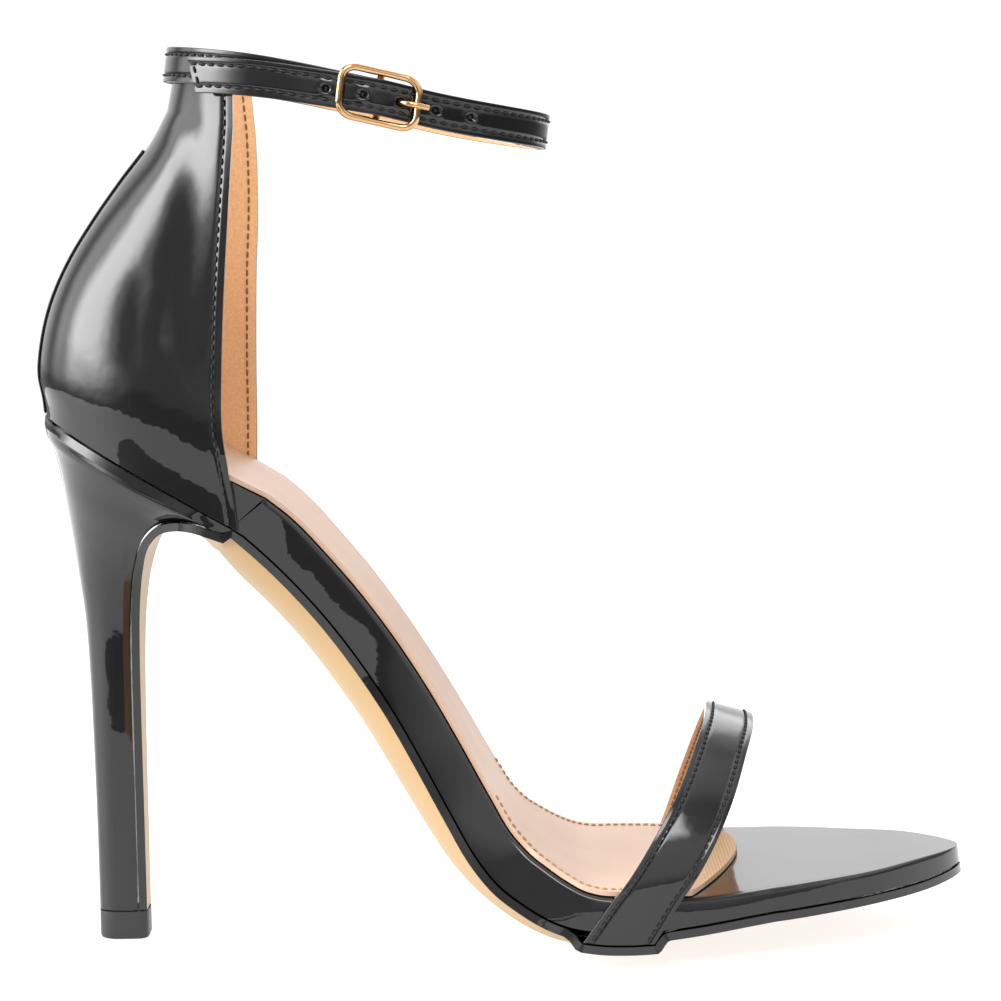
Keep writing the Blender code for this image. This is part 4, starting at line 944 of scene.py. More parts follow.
# Looks: seams, threads, dents and softened edges
Seam = namedtuple("Seam", "inset pitch")
COUNTER_SEAM = Seam(2.2 * MM, 2.1 * MM)
STRAP_SEAM = Seam(1.6 * MM, 2.4 * MM)
TOE_SEAM = Seam(1.7 * MM, 1.8 * MM)
TOE_LINING_SEAM = Seam(1.0 * MM, 1.8 * MM)
SOCK_SEAM = Seam(2.4 * MM, 1.8 * MM)
SEAM_DEPTH = 0.22 * MM
SEAM_WIDTH = 0.45 * MM

# First row of the insole with a seam, and the rows and side columns of the strap's tail for its seam
SOCK_SEAM_FROM = 60
TAIL_SEAM_ROWS = 60
TAIL_SEAM_MARGIN = 7

THREAD = 0.50 * MM
THREAD_SIDES = 6
STITCH_SHARE = 0.72

# One stitch along its length: shares of the stitch's pitch and of the thread's thickness.
StitchRow = namedtuple("StitchRow", "along lift slim")
STITCH = [
    StitchRow(-0.50, -0.30, 0.55),
    StitchRow(-0.42, 0.20, 0.85),
    StitchRow(-0.20, 0.42, 1.0),
    StitchRow(0.00, 0.48, 1.0),
    StitchRow(0.20, 0.42, 1.0),
    StitchRow(0.42, 0.20, 0.85),
    StitchRow(0.50, -0.30, 0.55),
]

HOLE_DIMPLE = 0.75 * MM
HOLE_DEPTH = 1.1 * MM
HOLE_RIM_PLACE = 1.9
HOLE_RIM_WIDTH = 0.5
HOLE_RIM_HEIGHT = 0.12
SOCK_END_FROM = 0.684 * SOLE_LENGTH
STAY_LIFT = 0.04 * MM
STAY_THICKNESS = 0.55 * MM
THIN_EDGE = 0.35 * MM
ANKLE_STRAP_EDGE = 0.45 * MM
TOE_STRAP_EDGE = 0.5 * MM
COUNTER_EDGE = 0.6 * MM
EDGE_SEGMENTS = 3
EDGE_ANGLE = math.radians(50.0)
RING_EDGE_ANGLE = math.radians(40.0)

# Middle bar of the buckle from its lower to its upper end: share of half its height, and how far
# it rises toward the frame.
BAR_ROUTE = [(-1.0, 0.55), (-0.80, 0.12), (-0.70, 0.0), (0.70, 0.0), (0.80, 0.12), (1.0, 0.55)]
PRONG_BEND_ALONG = 0.45
PRONG_BEND_RISE = 0.75
PRONG_TIP_DROP = 0.3

# Creases of the counter, each through points of its share from the back seam to the front edge and its
# level from the heel seat to the top, on the outer side (-1) or the inner side (+1).
Crease = namedtuple("Crease", "side depth width points")
CREASES = [
    Crease(-1.0, 0.85 * MM, 5.0 * MM,
           [(0.60, 0.86), (0.72, 0.80), (0.80, 0.72), (0.84, 0.62), (0.85, 0.50), (0.86, 0.38)]),
    Crease(-1.0, 0.30 * MM, 7.0 * MM, [(0.30, 0.92), (0.34, 0.80), (0.36, 0.66), (0.38, 0.52)]),
    Crease(-1.0, 0.35 * MM, 3.5 * MM, [(0.69, 0.46), (0.70, 0.38), (0.71, 0.30)]),
    Crease(1.0, 0.70 * MM, 6.0 * MM, [(0.62, 0.84), (0.76, 0.76), (0.82, 0.62), (0.85, 0.45)]),
    Crease(1.0, 0.35 * MM, 7.0 * MM, [(0.36, 0.90), (0.40, 0.72), (0.42, 0.55)]),
]

# Colours
PATENT_BLACK = (0.004, 0.004, 0.0045)
SOFT_BLACK = (0.006, 0.006, 0.006)
WHITE = (1.0, 1.0, 1.0, 1.0)

# Camera and studio
CAMERA_PLACE = (86.67 * MM, -700.0 * MM, 165.1 * MM)
CAMERA_PITCH = math.radians(5.5)
CAMERA_ROLL = math.radians(0.975)
CAMERA_LENS = 112.8
FLOOR_RADIUS = 0.95
FLOOR_POINTS = 96
FLOOR_GREY = 0.34
FLOOR_GLOW = 0.78
BACKDROP_STRENGTH = 1.1
STUDIO_AMBIENT = 0.12
CARD_LIFT = 0.5 * MM
CARD_CORNERS = [(-0.34, -0.34), (-0.02, -0.34), (-0.03, -0.17), (-0.16, -0.15), (-0.30, -0.19)]

# Soft boxes of the studio by direction from the shoe, in degrees. Turn 0 is straight toward the
# camera and grows toward the toe; rise is the angle above the floor.
SoftBox = namedtuple("SoftBox", "turn_from turn_to rise_from rise_to soft strength")
SOFT_BOXES = [
    SoftBox(-88.0, -56.0, 2.0, 46.0, 9.0, 8.5),
    SoftBox(-112.0, -45.0, 1.0, 50.0, 9.0, 2.2),
    SoftBox(-14.0, 62.0, 5.0, 40.0, 6.0, 0.75),
    SoftBox(-22.0, 22.0, 42.0, 58.0, 4.0, 9.0),
    SoftBox(-180.0, 180.0, 66.0, 90.0, 8.0, 0.9),
    SoftBox(60.0, 120.0, 25.0, 60.0, 10.0, 1.2),
    SoftBox(130.0, 180.0, -1.0, 60.0, 8.0, 0.8),
    SoftBox(-180.0, -130.0, -1.0, 60.0, 8.0, 0.5),
    SoftBox(150.0, 180.0, 28.0, 60.0, 6.0, 2.4),
    SoftBox(-180.0, -155.0, 28.0, 60.0, 6.0, 2.4),
    SoftBox(-180.0, 180.0, -1.0, 90.0, 1.5, 0.30),
]


def add_object(name, data):
    """New object in the scene."""
    thing = bpy.data.objects.new(name, data)
    bpy.context.scene.collection.objects.link(thing)
    return thing


def surface_lengths(grid, axis):
    """Length over a grid from its first row or column to each of its points."""
    steps = np.linalg.norm(np.diff(grid, axis=axis), axis=2)
    start = np.zeros_like(np.take(steps, [0], axis=axis))
    return np.concatenate((start, np.cumsum(steps, axis=axis)), axis=axis)


def lay_uvs(mesh, grid):
    """UVs in metres along and across a grid, from its first row and its middle column."""
    rows, columns = grid.shape[:2]
    middle = slice(columns // 2, columns // 2 + 1)
    across = surface_lengths(grid, 1)
    across = across - across[:, middle]
    along = np.repeat(surface_lengths(grid, 0)[:, middle], columns, axis=1)
    uv = np.stack((along, across), axis=2).reshape(-1, 2)
    layer = mesh.uv_layers.new(name="surface")
    corner = np.empty(len(mesh.loops), dtype=np.int64)
    mesh.loops.foreach_get("vertex_index", corner)
    layer.data.foreach_set("uv", uv[corner % (rows * columns)].astype(np.float32).ravel())


def finish_mesh(name, shape, mesh, sharp_angle):
    """Object of a mesh with outward normals and smooth shading between its sharp edges."""
    bmesh.ops.recalc_face_normals(shape, faces=shape.faces)
    shape.to_mesh(mesh)
    shape.free()
    mesh.shade_smooth()
    mesh.set_sharp_from_angle(angle=sharp_angle)
    return add_object(name, mesh)


def grid_mesh(name, low, high, materials, faces):
    """Closed piece between two grids, with UVs in metres and one material each for low, high and edges."""
    low = np.array(low)
    high = np.array(high)
    rows, columns = low.shape[:2]
    points = np.concatenate((low.reshape(-1, 3), high.reshape(-1, 3)))
    shift = rows * columns
    index = np.arange(shift).reshape(rows, columns)
    polygons = []
    slots = []
    lower, upper, rim = faces
    for i in range(rows - 1):
        for j in range(columns - 1):
            a, b, c, d = index[i, j], index[i + 1, j], index[i + 1, j + 1], index[i, j + 1]
            polygons.append((a, b, c, d))
            polygons.append((a + shift, d + shift, c + shift, b + shift))
            slots += [lower, upper]
        for j in (0, columns - 1):
            a, b = index[i, j], index[i + 1, j]
            side = (a, a + shift, b + shift, b)
            polygons.append(side if j == 0 else side[::-1])
            slots.append(rim)
    for j in range(columns - 1):
        for i in (0, rows - 1):
            a, b = index[i, j], index[i, j + 1]
            side = (a, b, b + shift, a + shift)
            polygons.append(side if i == 0 else side[::-1])
            slots.append(rim)
    mesh = bpy.data.meshes.new(name)
    mesh.from_pydata(points.tolist(), [], [tuple(int(v) for v in face) for face in polygons])
    for material in materials:
        mesh.materials.append(material)
    mesh.polygons.foreach_set("material_index", slots)
    lay_uvs(mesh, high)
    shape = bmesh.new()
    shape.from_mesh(mesh)
    return finish_mesh(name, shape, mesh, EDGE_ANGLE)


def ring_mesh(name, rings, material):
    """Closed piece through rings with the same number of points, capped at both ends."""
    shape = bmesh.new()
    loops = [[shape.verts.new(point) for point in ring] for ring in rings]
    count = len(loops[0])
    for first, second in zip(loops, loops[1:]):
        for i in range(count):
            j = (i + 1) % count
            shape.faces.new((first[i], first[j], second[j], second[i]))
    shape.faces.new(list(reversed(loops[0])))
    shape.faces.new(loops[-1])
    mesh = bpy.data.meshes.new(name)
    mesh.materials.append(material)
    return finish_mesh(name, shape, mesh, RING_EDGE_ANGLE)


def soften(piece, width):
    """Rounds a piece's sharp edges."""
    bevel = piece.modifiers.new("soft_edges", "BEVEL")
    bevel.width = width
    bevel.segments = EDGE_SEGMENTS
    bevel.limit_method = "ANGLE"
    bevel.angle_limit = EDGE_ANGLE
    bevel.harden_normals = True


def tube(name, points, cyclic, diameter, material):
    """Round wire through points."""
    curve = bpy.data.curves.new(name, "CURVE")
    curve.dimensions = "3D"
    curve.bevel_depth = 0.5 * diameter
    curve.bevel_resolution = WIRE_SIDES
    curve.use_fill_caps = True
    line = curve.splines.new("POLY")
    line.points.add(len(points) - 1)
    for point, place in zip(line.points, points):
        point.co = (*place, 1.0)
    line.use_cyclic_u = cyclic
    line.use_smooth = True
    curve.materials.append(material)
    return add_object(name, curve)


def place_at(length, lengths, points):
    """Point along a line of points, at a length along it."""
    return np.array([np.interp(length, lengths, points[:, k]) for k in range(3)])


def stitch_rings(middle, pitch, places, points, normals):
    """Rings of one stitch, from its first end to its last."""
    rings = []
    for row in STITCH:
        s = middle + row.along * pitch * STITCH_SHARE
        centre = place_at(s, places, points)
        normal = place_at(s, places, normals)
        normal /= np.linalg.norm(normal)
        run = place_at(s + 0.1 * pitch, places, points) - place_at(s - 0.1 * pitch, places, points)
        run /= max(np.linalg.norm(run), 1e-9)
        cross = np.cross(run, normal)
        radius = 0.5 * THREAD * row.slim
        ring = []
        for k in range(THREAD_SIDES):
            angle = 2.0 * math.pi * k / THREAD_SIDES
            lift = row.lift * THREAD + radius * math.sin(angle)
            ring.append(centre + normal * lift + cross * radius * math.cos(angle))
        rings.append(ring)
    return rings


def thread_row(name, points, normals, pitch, material):
    """Row of stitches along a line of points on a surface, each a short thread that dips at both ends."""
    points = np.array(points)
    normals = np.array(normals)
    steps = np.linalg.norm(np.diff(points, axis=0), axis=1)
    places = np.concatenate(([0.0], np.cumsum(steps)))
    count = int(places[-1] / pitch)
    vertices = []
    faces = []
    for number in range(count):
        middle = (number + 0.5) * pitch + 0.5 * (places[-1] - count * pitch)
        base = len(vertices)
        for ring in stitch_rings(middle, pitch, places, points, normals):
            vertices.extend(ring)
        last = base + (len(STITCH) - 1) * THREAD_SIDES
        for first in range(base, last, THREAD_SIDES):
            second = first + THREAD_SIDES
            for k in range(THREAD_SIDES):
                m = (k + 1) % THREAD_SIDES
                faces.append((first + k, first + m, second + m, second + k))
        faces.append(tuple(base + k for k in reversed(range(THREAD_SIDES))))
        faces.append(tuple(last + k for k in range(THREAD_SIDES)))
    mesh = bpy.data.meshes.new(name)
    mesh.from_pydata([tuple(v) for v in vertices], [], faces)
    mesh.shade_smooth()
    mesh.materials.append(material)
    return add_object(name, mesh)


def outward(grid, other):
    """Unit normals of a grid that point away from the other grid of the same piece."""
    normals = grid_normals(grid)
    away = np.sum((grid - np.array(other)) * normals, axis=2, keepdims=True)
    return normals * np.where(away < 0.0, -1.0, 1.0)


def from_edges(grid):
    """Distances along each row of a grid from its first and from its last point."""
    first = surface_lengths(grid, 1)
    return first, first[:, -1:] - first


def steady_tip(rows, guide):
    """Grid whose last rows step on toward the toe's tip as the guide's last rows do."""
    base = np.array(rows[-TIP_ROWS - 1])
    start = np.array(guide[-TIP_ROWS - 1])
    ends = [(base + np.array(row) - start).tolist() for row in guide[-TIP_ROWS:]]
    return list(rows[:-TIP_ROWS]) + ends


def press_seams(grid, normals, inset):
    """Grid with a shallow groove along both of its long edges."""
    first, last = from_edges(grid)
    groove = np.exp(-((first - inset) / SEAM_WIDTH) ** 2) + np.exp(-((last - inset) / SEAM_WIDTH) ** 2)
    return grid - normals * (SEAM_DEPTH * groove)[:, :, None]


def seam_line(grid, normals, inset, last):
    """Points and normals at an inset from the first or the last point of each row."""
    first, from_last = from_edges(grid)
    points = []
    ups = []
    for row, up, near, far in zip(grid, normals, first, from_last):
        places = near
        if last:
            row, up, places = row[::-1], up[::-1], far[::-1]
        points.append(place_at(inset, places, row))
        ups.append(place_at(inset, places, up))
    return points, ups


def sew(name, grid, normals, seam, thread, edges=(False, True)):
    """Rows of stitches inside the long edges of a grid."""
    for last in edges:
        points, ups = seam_line(grid, normals, seam.inset, last)
        row = thread_row(f"{name}_{'b' if last else 'a'}", points, ups, seam.pitch, thread)
        finish_piece(row, None)


def press_line(grid, normals, line, depth, width):
    """Grid with a soft trough along a line of points."""
    line = np.array(line)
    gaps = np.linalg.norm(grid[:, :, None, :] - line[None, None, :, :], axis=3).min(axis=2)
    return grid - normals * (depth * np.exp(-(gaps / width) ** 2))[:, :, None]


def crease_counter(wall, normals):
    """Outer wall of the counter with its soft creases."""
    for crease in CREASES:
        last = len(crease.points) - 1.0
        shares, levels = zip(*crease.points)
        line = []
        for step in np.linspace(0.0, last, CREASE_STEPS):
            share = float(np.interp(step, range(len(shares)), shares))
            level = float(np.interp(step, range(len(levels)), levels))
            line.append(counter_point(level, crease.side, share, 0.0))
        wall = press_line(wall, normals, line, crease.depth, crease.width)
    return wall


def dimple(grid, normals, centre):
    """Grid with the round dent of a hole and a faint rim about it."""
    gaps = np.linalg.norm(grid - np.array(centre), axis=2) / HOLE_DIMPLE
    dent = np.exp(-gaps ** 4)
    rim = np.exp(-((gaps - HOLE_RIM_PLACE) / HOLE_RIM_WIDTH) ** 2)
    return grid - normals * (HOLE_DEPTH * (dent - HOLE_RIM_HEIGHT * rim))[:, :, None]


def add_node(tree, kind, **settings):
    """Shader node with some of its settings."""
    node = tree.nodes.new(kind)
    for name, value in settings.items():
        setattr(node, name, value)
    return node


def base_material(name, colour, roughness, coat=0.0, metallic=0.0):
    """Principled material and its tree and shader."""
    material = bpy.data.materials.new(name)
    material.use_nodes = True
    tree = material.node_tree
    shader = tree.nodes["Principled BSDF"]
    shader.inputs["Base Color"].default_value = (*colour, 1.0)
    shader.inputs["Roughness"].default_value = roughness
    shader.inputs["Metallic"].default_value = metallic
    shader.inputs["Coat Weight"].default_value = coat
    return material, tree, shader


def on_object(tree, kind, **values):
    """Texture node that lies on the object's own coordinates, with some of its values."""
    place = add_node(tree, "ShaderNodeTexCoord")
    node = add_node(tree, kind)
    for name, value in values.items():
        node.inputs[name].default_value = value
    tree.links.new(place.outputs["Object"], node.inputs["Vector"])
    return node


def noise_bump(tree, shader, layers):
    """Bump from several noises, each given by its scale, detail, distance and strength."""
    normal = None
    for scale, detail, distance, strength in layers:
        noise = on_object(tree, "ShaderNodeTexNoise", Scale=scale, Detail=detail)
        bump = add_node(tree, "ShaderNodeBump")
        bump.inputs["Distance"].default_value = distance
        bump.inputs["Strength"].default_value = strength
        tree.links.new(noise.outputs["Fac"], bump.inputs["Height"])
        if normal is not None:
            tree.links.new(normal, bump.inputs["Normal"])
        normal = bump.outputs["Normal"]
    tree.links.new(normal, shader.inputs["Normal"])
    return normal


def two_colours(tree, shader, pattern, dark, colour, low=0.0, high=1.0):
    """Base colour that goes from dark at the pattern's low value to colour at its high value."""
    ramp = add_node(tree, "ShaderNodeValToRGB")
    first, last = ramp.color_ramp.elements
    first.position = low
    first.color = (*dark, 1.0)
    last.position = high
    last.color = (*colour, 1.0)
    tree.links.new(pattern.outputs["Fac"], ramp.inputs["Fac"])
    tree.links.new(ramp.outputs["Color"], shader.inputs["Base Color"])


def patent_material(name, colour, wave):
    """Black patent leather: a dark base under a clear coat with slow waves and a fine orange peel."""
    material, tree, shader = base_material(name, colour, 0.30, coat=1.0)
    shader.inputs["Coat Roughness"].default_value = 0.02
    shader.inputs["Specular IOR Level"].default_value = 0.12
    shader.inputs["IOR"].default_value = 1.5
    shader.inputs["Coat IOR"].default_value = 1.5
    layers = [(38.0, 1.0, 0.0016, wave), (150.0, 2.0, 0.00025, wave), (900.0, 2.0, 0.00002, 0.2)]
    normal = noise_bump(tree, shader, layers)
    tree.links.new(normal, shader.inputs["Coat Normal"])
    return material


def suede_material(name, colour, dark):
    """Lining with a fine nap: speckled colour and a soft sheen."""
    material, tree, shader = base_material(name, colour, 0.85)
    shader.inputs["Sheen Weight"].default_value = 0.25
    shader.inputs["Sheen Roughness"].default_value = 0.5
    nap = on_object(tree, "ShaderNodeTexNoise", Scale=1700.0, Detail=4.0)
    two_colours(tree, shader, nap, dark, colour, 0.28, 0.70)
    noise_bump(tree, shader, [(1400.0, 3.0, 0.00005, 0.6)])
    return material


def leather_material(name, colour, dark, roughness, scale, depth):
    """Plain leather with faint clouds of colour and fine pores."""
    material, tree, shader = base_material(name, colour, roughness)
    clouds = on_object(tree, "ShaderNodeTexNoise", Scale=scale, Detail=6.0)
    two_colours(tree, shader, clouds, dark, colour, 0.25, 0.75)
    noise_bump(tree, shader, [(1100.0, 4.0, 0.00004, depth)])
    return material


def rib_shade_highlight_material(name, colour, dark):
    """Matt leather pressed with fine ribs across the foot, drawn only as stripes of colour: painted shade in
    the rib grooves and painted highlight on the rib tops.
    """
    material, tree, shader = base_material(name, colour, 0.55)
    ribs = on_object(tree, "ShaderNodeTexWave", Scale=420.0, Distortion=0.6)
    # The ribs have no relief here: the darker stripes are painted shade of the rib grooves, the lighter ones
    # painted highlight of the rib tops.
    two_colours(tree, shader, ribs, dark, colour)
    noise_bump(tree, shader, [(900.0, 3.0, 0.00008, 0.6)])
    return material


def gold_material():
    """Polished dark gold with faint scratches."""
    material, tree, shader = base_material("gold_polish", (0.62, 0.385, 0.19), 0.14, metallic=1.0)
    noise_bump(tree, shader, [(2200.0, 3.0, 0.00001, 0.4)])
    return material


def rubber_material():
    """Black rubber of the heel tip."""
    material, tree, shader = base_material("tip_rubber", (0.018, 0.018, 0.019), 0.42)
    noise_bump(tree, shader, [(1500.0, 4.0, 0.00006, 0.6)])
    return material


def make_materials():
    """Materials of the sandal by a short name."""
    return {
        "counter": patent_material("patent_counter", PATENT_BLACK, 0.35),
        "band": patent_material("patent_band", PATENT_BLACK, 0.12),
        "heel": patent_material("patent_heel", PATENT_BLACK, 0.20),
        "strap": patent_material("patent_strap", PATENT_BLACK, 0.30),
        "lining": suede_material("lining_tan", (0.86, 0.52, 0.27), (0.72, 0.40, 0.19)),
        "sock": leather_material("sock_beige", (0.56, 0.375, 0.265), (0.50, 0.32, 0.22), 0.35, 60.0, 0.4),
        "sock_end": rib_shade_highlight_material("sock_end_rib_shade_highlight", (0.56, 0.38, 0.22), (0.42, 0.27, 0.14)),
        "tan": leather_material("sole_tan", (0.44, 0.28, 0.115), (0.40, 0.245, 0.095), 0.40, 35.0, 0.3),
        "gold": gold_material(),
        "rubber": rubber_material(),
        "rim": patent_material("outsole_rim", SOFT_BLACK, 0.30),
        "black_thread": base_material("thread_black", SOFT_BLACK, 0.65)[0],
        "brown_thread": base_material("thread_brown", (0.22, 0.10, 0.04), 0.6)[0],
        "tan_thread": base_material("thread_tan", (0.48, 0.30, 0.16), 0.6)[0],
    }


def finish_piece(piece, node):
    """Piece that stands for a node of the frame."""
    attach(piece, "root")
    if node:
        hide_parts(node)


def make_soles(looks):
    """Outsole, midsole and insole with its stitches."""
    underside = outsole_rows(OUTSOLE_STRAP_DIP)
    topside = steady_tip(offset_rows(underside, OUTSOLE_THICKNESS), underside)
    outsole = grid_mesh("outsole_shell", underside, topside, [looks["tan"], looks["rim"]], (0, 1, 1))
    soften(outsole, THIN_EDGE)
    finish_piece(outsole, "outsole")

    lower, upper = midsole_grids()
    lower = steady_tip(lower, [row[1:-1] for row in underside])
    midsole = grid_mesh("midsole_cover", lower, upper, [looks["band"]], (0, 0, 0))
    finish_piece(midsole, "midsole")

    low = np.array(insole_grid(CLEARANCE))
    high = np.array(insole_grid(CLEARANCE + INSOLE_THICKNESS))
    up = outward(high, low)
    high = press_seams(high, up, SOCK_SEAM.inset)
    insole = grid_mesh("insole_sock", low, high, [looks["sock"], looks["sock_end"]], (0, 0, 0))
    # The insole's front end takes the ribbed material, whose stripes are painted shade and painted highlight
    # of the ribs.
    for polygon in insole.data.polygons:
        if polygon.center.x > SOCK_END_FROM:
            polygon.material_index = 1
    soften(insole, THIN_EDGE)
    finish_piece(insole, "insole")
    high, up = high[SOCK_SEAM_FROM:], up[SOCK_SEAM_FROM:]
    sew("sock_stitches", high, up, SOCK_SEAM, looks["tan_thread"])


def make_heel(looks):
    """Covered heel and its tip."""
    finish_piece(ring_mesh("heel_cover", heel_rings(), looks["heel"]), "heel")
    finish_piece(ring_mesh("heel_tip_block", heel_tip_rings(), looks["rubber"]), "heel_tip")


def make_counter(looks):
    """Counter with its creases and stitches, and the strip over its back seam."""
    levels = counter_levels()
    inner = np.array([counter_row(level, COUNTER_WALL) for level in levels])
    outer = np.array([counter_row(level, 0.0) for level in levels])
    outward_normals = outward(outer, inner)
    inward_normals = outward(inner, outer)
    outer = press_seams(crease_counter(outer, outward_normals), outward_normals, COUNTER_SEAM.inset)
    counter = grid_mesh("counter_wall", inner, outer, [looks["lining"], looks["counter"]], (0, 1, 1))
    soften(counter, COUNTER_EDGE)
    finish_piece(counter, "counter")
    sew("counter_stitches", outer, outward_normals, COUNTER_SEAM, looks["black_thread"])
    sew("lining_stitches", inner, inward_normals, COUNTER_SEAM, looks["brown_thread"])

    low = backstay_grid(STAY_LIFT)
    high = backstay_grid(STAY_LIFT + STAY_THICKNESS)
    stay = grid_mesh("backstay_strip", low, high, [looks["counter"]], (0, 0, 0))
    soften(stay, THIN_EDGE)
    finish_piece(stay, "backstay")


def make_toe_strap(looks):
    """Toe strap with its stitches outside and inside."""
    outer = np.array(toe_strap_rows())
    inner = offset_rows(outer, TOE_STRAP_THICKNESS)
    outward_normals = outward(outer, inner)
    inward_normals = outward(inner, outer)
    outer = press_seams(outer, outward_normals, TOE_SEAM.inset)
    strap = grid_mesh("toe_strap_band", inner, outer, [looks["lining"], looks["strap"]], (0, 1, 1))
    soften(strap, TOE_STRAP_EDGE)
    finish_piece(strap, "toe_strap")
    sew("toe_stitches", outer, outward_normals, TOE_SEAM, looks["black_thread"])
    sew("toe_lining_stitches", inner, inward_normals, TOE_LINING_SEAM, looks["brown_thread"])


def make_ankle_strap(looks):
    """Ankle strap with the dents of its holes and its stitches."""
    inner, outer = ankle_strap_grids()
    outward_normals = outward(outer, inner)
    inward_normals = outward(inner, outer)
    outer = press_seams(outer, outward_normals, STRAP_SEAM.inset)
    for ahead in hole_places():
        offset = strap_offset(ahead) + ANKLE_STRAP_THICKNESS
        centre = ankle_point(buckle_length() - ahead, -strap_drop(ahead), offset)
        outer = dimple(outer, outward_normals, centre)
    strap = grid_mesh("ankle_strap_band", inner, outer, [looks["lining"], looks["strap"]], (0, 1, 1))
    soften(strap, ANKLE_STRAP_EDGE)
    finish_piece(strap, "ankle_strap")
    black = looks["black_thread"]
    sew("strap_stitches", outer, outward_normals, STRAP_SEAM, black)
    sew("strap_lining_stitches", inner, inward_normals, STRAP_SEAM, looks["brown_thread"])
    tail = (slice(-TAIL_SEAM_ROWS, None), slice(TAIL_SEAM_MARGIN, -TAIL_SEAM_MARGIN))
    end = outer[tail].transpose(1, 0, 2)
    end_normals = outward_normals[tail].transpose(1, 0, 2)
    sew("tail_stitches", end, end_normals, STRAP_SEAM, black, (True,))


def make_buckle(gold):
    """Wire frame of the buckle with its middle bar, and the prong through the strap."""
    length = buckle_length()
    path = [ankle_point(length - along, height, frame_offset(along)) for along, height in frame_path()]
    finish_piece(tube("buckle_wire", path, True, BUCKLE_WIRE, gold), "buckle_frame")

    half = 0.5 * (BUCKLE_HEIGHT - BUCKLE_WIRE)
    rise = frame_offset(0.0) - bar_offset()
    bar = [ankle_point(length, share * half, bar_offset() + lift * rise) for share, lift in BAR_ROUTE]
    finish_piece(tube("buckle_bar", bar, False, BUCKLE_WIRE, gold), None)

    hole = hole_places()[0]
    half = 0.5 * (BUCKLE_LENGTH - BUCKLE_WIRE)
    surface = strap_offset(hole) + ANKLE_STRAP_THICKNESS
    over = frame_offset(-half) + 0.5 * BUCKLE_WIRE + CLEARANCE + 0.5 * PRONG_WIRE
    route = [
        (hole, strap_offset(hole) - CLEARANCE),
        (hole, surface),
        (mix(hole, -half, PRONG_BEND_ALONG), mix(surface, over, PRONG_BEND_RISE)),
        (-half, over),
        (-half - PRONG_OVERHANG - 0.5 * BUCKLE_WIRE, over - PRONG_TIP_DROP * BUCKLE_WIRE),
    ]
    prong = [ankle_point(length - along, 0.0, offset) for along, offset in route]
    finish_piece(tube("prong_wire", prong, False, PRONG_WIRE, gold), "buckle_prong")


def place_camera():
    """Camera at the photo's place and angle."""
    data = bpy.data.cameras.new("photo_camera")
    data.lens = CAMERA_LENS
    data.sensor_width = 36.0
    data.sensor_fit = "HORIZONTAL"
    camera = add_object("photo_camera", data)
    forward = Vector((0.0, math.cos(CAMERA_PITCH), -math.sin(CAMERA_PITCH)))
    level = Vector((1.0, 0.0, 0.0))
    upright = level.cross(forward)
    right = level * math.cos(CAMERA_ROLL) - upright * math.sin(CAMERA_ROLL)
    up = right.cross(forward)
    turn = Matrix((right, up, -forward)).transposed().to_4x4()
    camera.matrix_world = Matrix.Translation(CAMERA_PLACE) @ turn
    bpy.context.scene.camera = camera


def feed(tree, socket, value):
    """Gives a socket a number or another node's output."""
    if isinstance(value, float):
        socket.default_value = value
    else:
        tree.links.new(value, socket)


def math_node(tree, operation, *values):
    """Output of a maths node fed with the values in turn."""
    node = add_node(tree, "ShaderNodeMath", operation=operation)
    for socket, value in zip(node.inputs, values):
        feed(tree, socket, value)
    return node.outputs["Value"]


def fade(tree, value, middle, soft, low, high):
    """Output that eases from low to high over soft on both sides of the middle."""
    node = add_node(tree, "ShaderNodeMapRange", interpolation_type="SMOOTHSTEP")
    node.inputs["From Min"].default_value = middle - soft
    node.inputs["From Max"].default_value = middle + soft
    node.inputs["To Min"].default_value = low
    node.inputs["To Max"].default_value = high
    tree.links.new(value, node.inputs["Value"])
    return node.outputs["Result"]


def smooth_mask(tree, value, low, high, soft):
    """Node output that is 1 between low and high and fades to 0 over soft on both sides."""
    return math_node(tree, "MULTIPLY", fade(tree, value, low, soft, 0.0, 1.0),
                     fade(tree, value, high, soft, 1.0, 0.0))


def background(tree, strength):
    """White background with a strength that is a number or another output."""
    node = add_node(tree, "ShaderNodeBackground")
    node.inputs["Color"].default_value = WHITE
    feed(tree, node.inputs["Strength"], strength)
    return node.outputs["Background"]


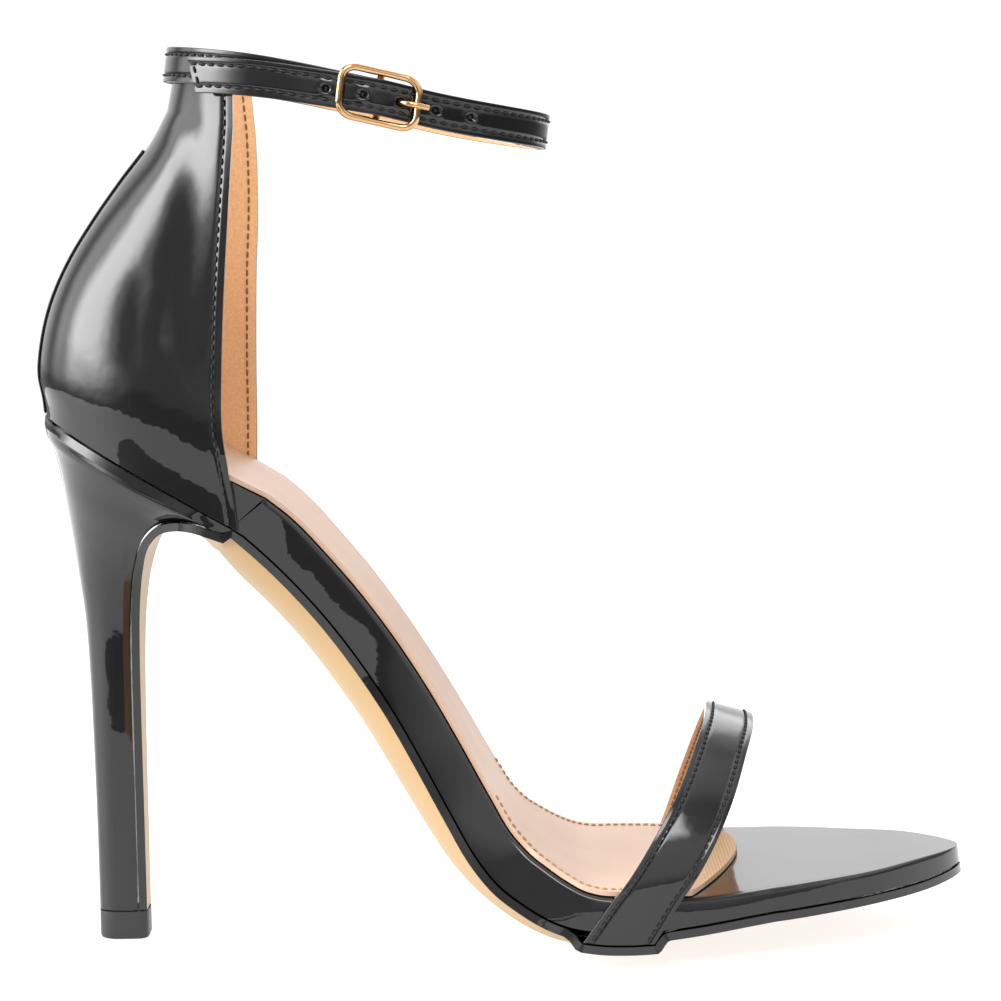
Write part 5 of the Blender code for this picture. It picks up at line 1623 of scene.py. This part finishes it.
def light_studio():
    """White surroundings for the camera, and a dim studio with soft boxes for light and reflections."""
    world = bpy.data.worlds.new("studio")
    bpy.context.scene.world = world
    world.use_nodes = True
    tree = world.node_tree
    tree.nodes.clear()
    place = add_node(tree, "ShaderNodeTexCoord")
    axes = add_node(tree, "ShaderNodeSeparateXYZ")
    tree.links.new(place.outputs["Generated"], axes.inputs["Vector"])
    toward = math_node(tree, "MULTIPLY", axes.outputs["Y"], -1.0)
    turn = math_node(tree, "ARCTAN2", axes.outputs["X"], toward)
    rise = math_node(tree, "ARCSINE", axes.outputs["Z"])
    total = STUDIO_AMBIENT
    for box in SOFT_BOXES:
        soft = math.radians(box.soft)
        left = math.radians(box.turn_from) - (1.0 if box.turn_from <= -180.0 else 0.0)
        right = math.radians(box.turn_to) + (1.0 if box.turn_to >= 180.0 else 0.0)
        top = math.radians(box.rise_to) + (1.0 if box.rise_to >= 90.0 else 0.0)
        sideways = smooth_mask(tree, turn, left, right, soft)
        upward = smooth_mask(tree, rise, math.radians(box.rise_from), top, soft)
        both = math_node(tree, "MULTIPLY", sideways, upward)
        total = math_node(tree, "MULTIPLY_ADD", both, box.strength, total)
    rays = add_node(tree, "ShaderNodeLightPath")
    chosen = add_node(tree, "ShaderNodeMixShader")
    tree.links.new(rays.outputs["Is Camera Ray"], chosen.inputs["Fac"])
    tree.links.new(background(tree, total), chosen.inputs[1])
    tree.links.new(background(tree, BACKDROP_STRENGTH), chosen.inputs[2])
    output = add_node(tree, "ShaderNodeOutputWorld")
    tree.links.new(chosen.outputs["Shader"], output.inputs["Surface"])


def make_floor():
    """Wide white floor that the sandal stands on."""
    shape = bmesh.new()
    bmesh.ops.create_circle(shape, cap_ends=True, segments=FLOOR_POINTS, radius=FLOOR_RADIUS)
    mesh = bpy.data.meshes.new("studio_floor")
    shape.to_mesh(mesh)
    shape.free()
    material, _, shader = base_material("floor_white", (FLOOR_GREY, FLOOR_GREY, FLOOR_GREY), 0.6)
    shader.inputs["Emission Color"].default_value = WHITE
    shader.inputs["Emission Strength"].default_value = FLOOR_GLOW
    mesh.materials.append(material)
    add_object("studio_floor", mesh)


def make_dark_card():
    """Dark card on the floor beside the camera's view, which the glossy leather mirrors."""
    corners = [(x, y, CARD_LIFT) for x, y in CARD_CORNERS]
    mesh = bpy.data.meshes.new("dark_card")
    mesh.from_pydata(corners, [], [tuple(range(len(corners)))])
    mesh.materials.append(base_material("card_black", (0.012, 0.012, 0.012), 0.8)[0])
    card = add_object("dark_card", mesh)
    card.visible_camera = False


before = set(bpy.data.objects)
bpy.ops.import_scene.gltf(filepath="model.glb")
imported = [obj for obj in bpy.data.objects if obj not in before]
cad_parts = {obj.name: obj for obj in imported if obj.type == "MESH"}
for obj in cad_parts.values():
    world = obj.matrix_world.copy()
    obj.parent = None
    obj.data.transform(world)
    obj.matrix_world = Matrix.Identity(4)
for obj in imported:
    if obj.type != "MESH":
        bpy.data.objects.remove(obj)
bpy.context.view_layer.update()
bpy.context.scene.view_settings.view_transform = "Standard"
looks = make_materials()
make_soles(looks)
make_heel(looks)
make_counter(looks)
make_toe_strap(looks)
make_ankle_strap(looks)
make_buckle(looks["gold"])
make_floor()
make_dark_card()
light_studio()
place_camera()
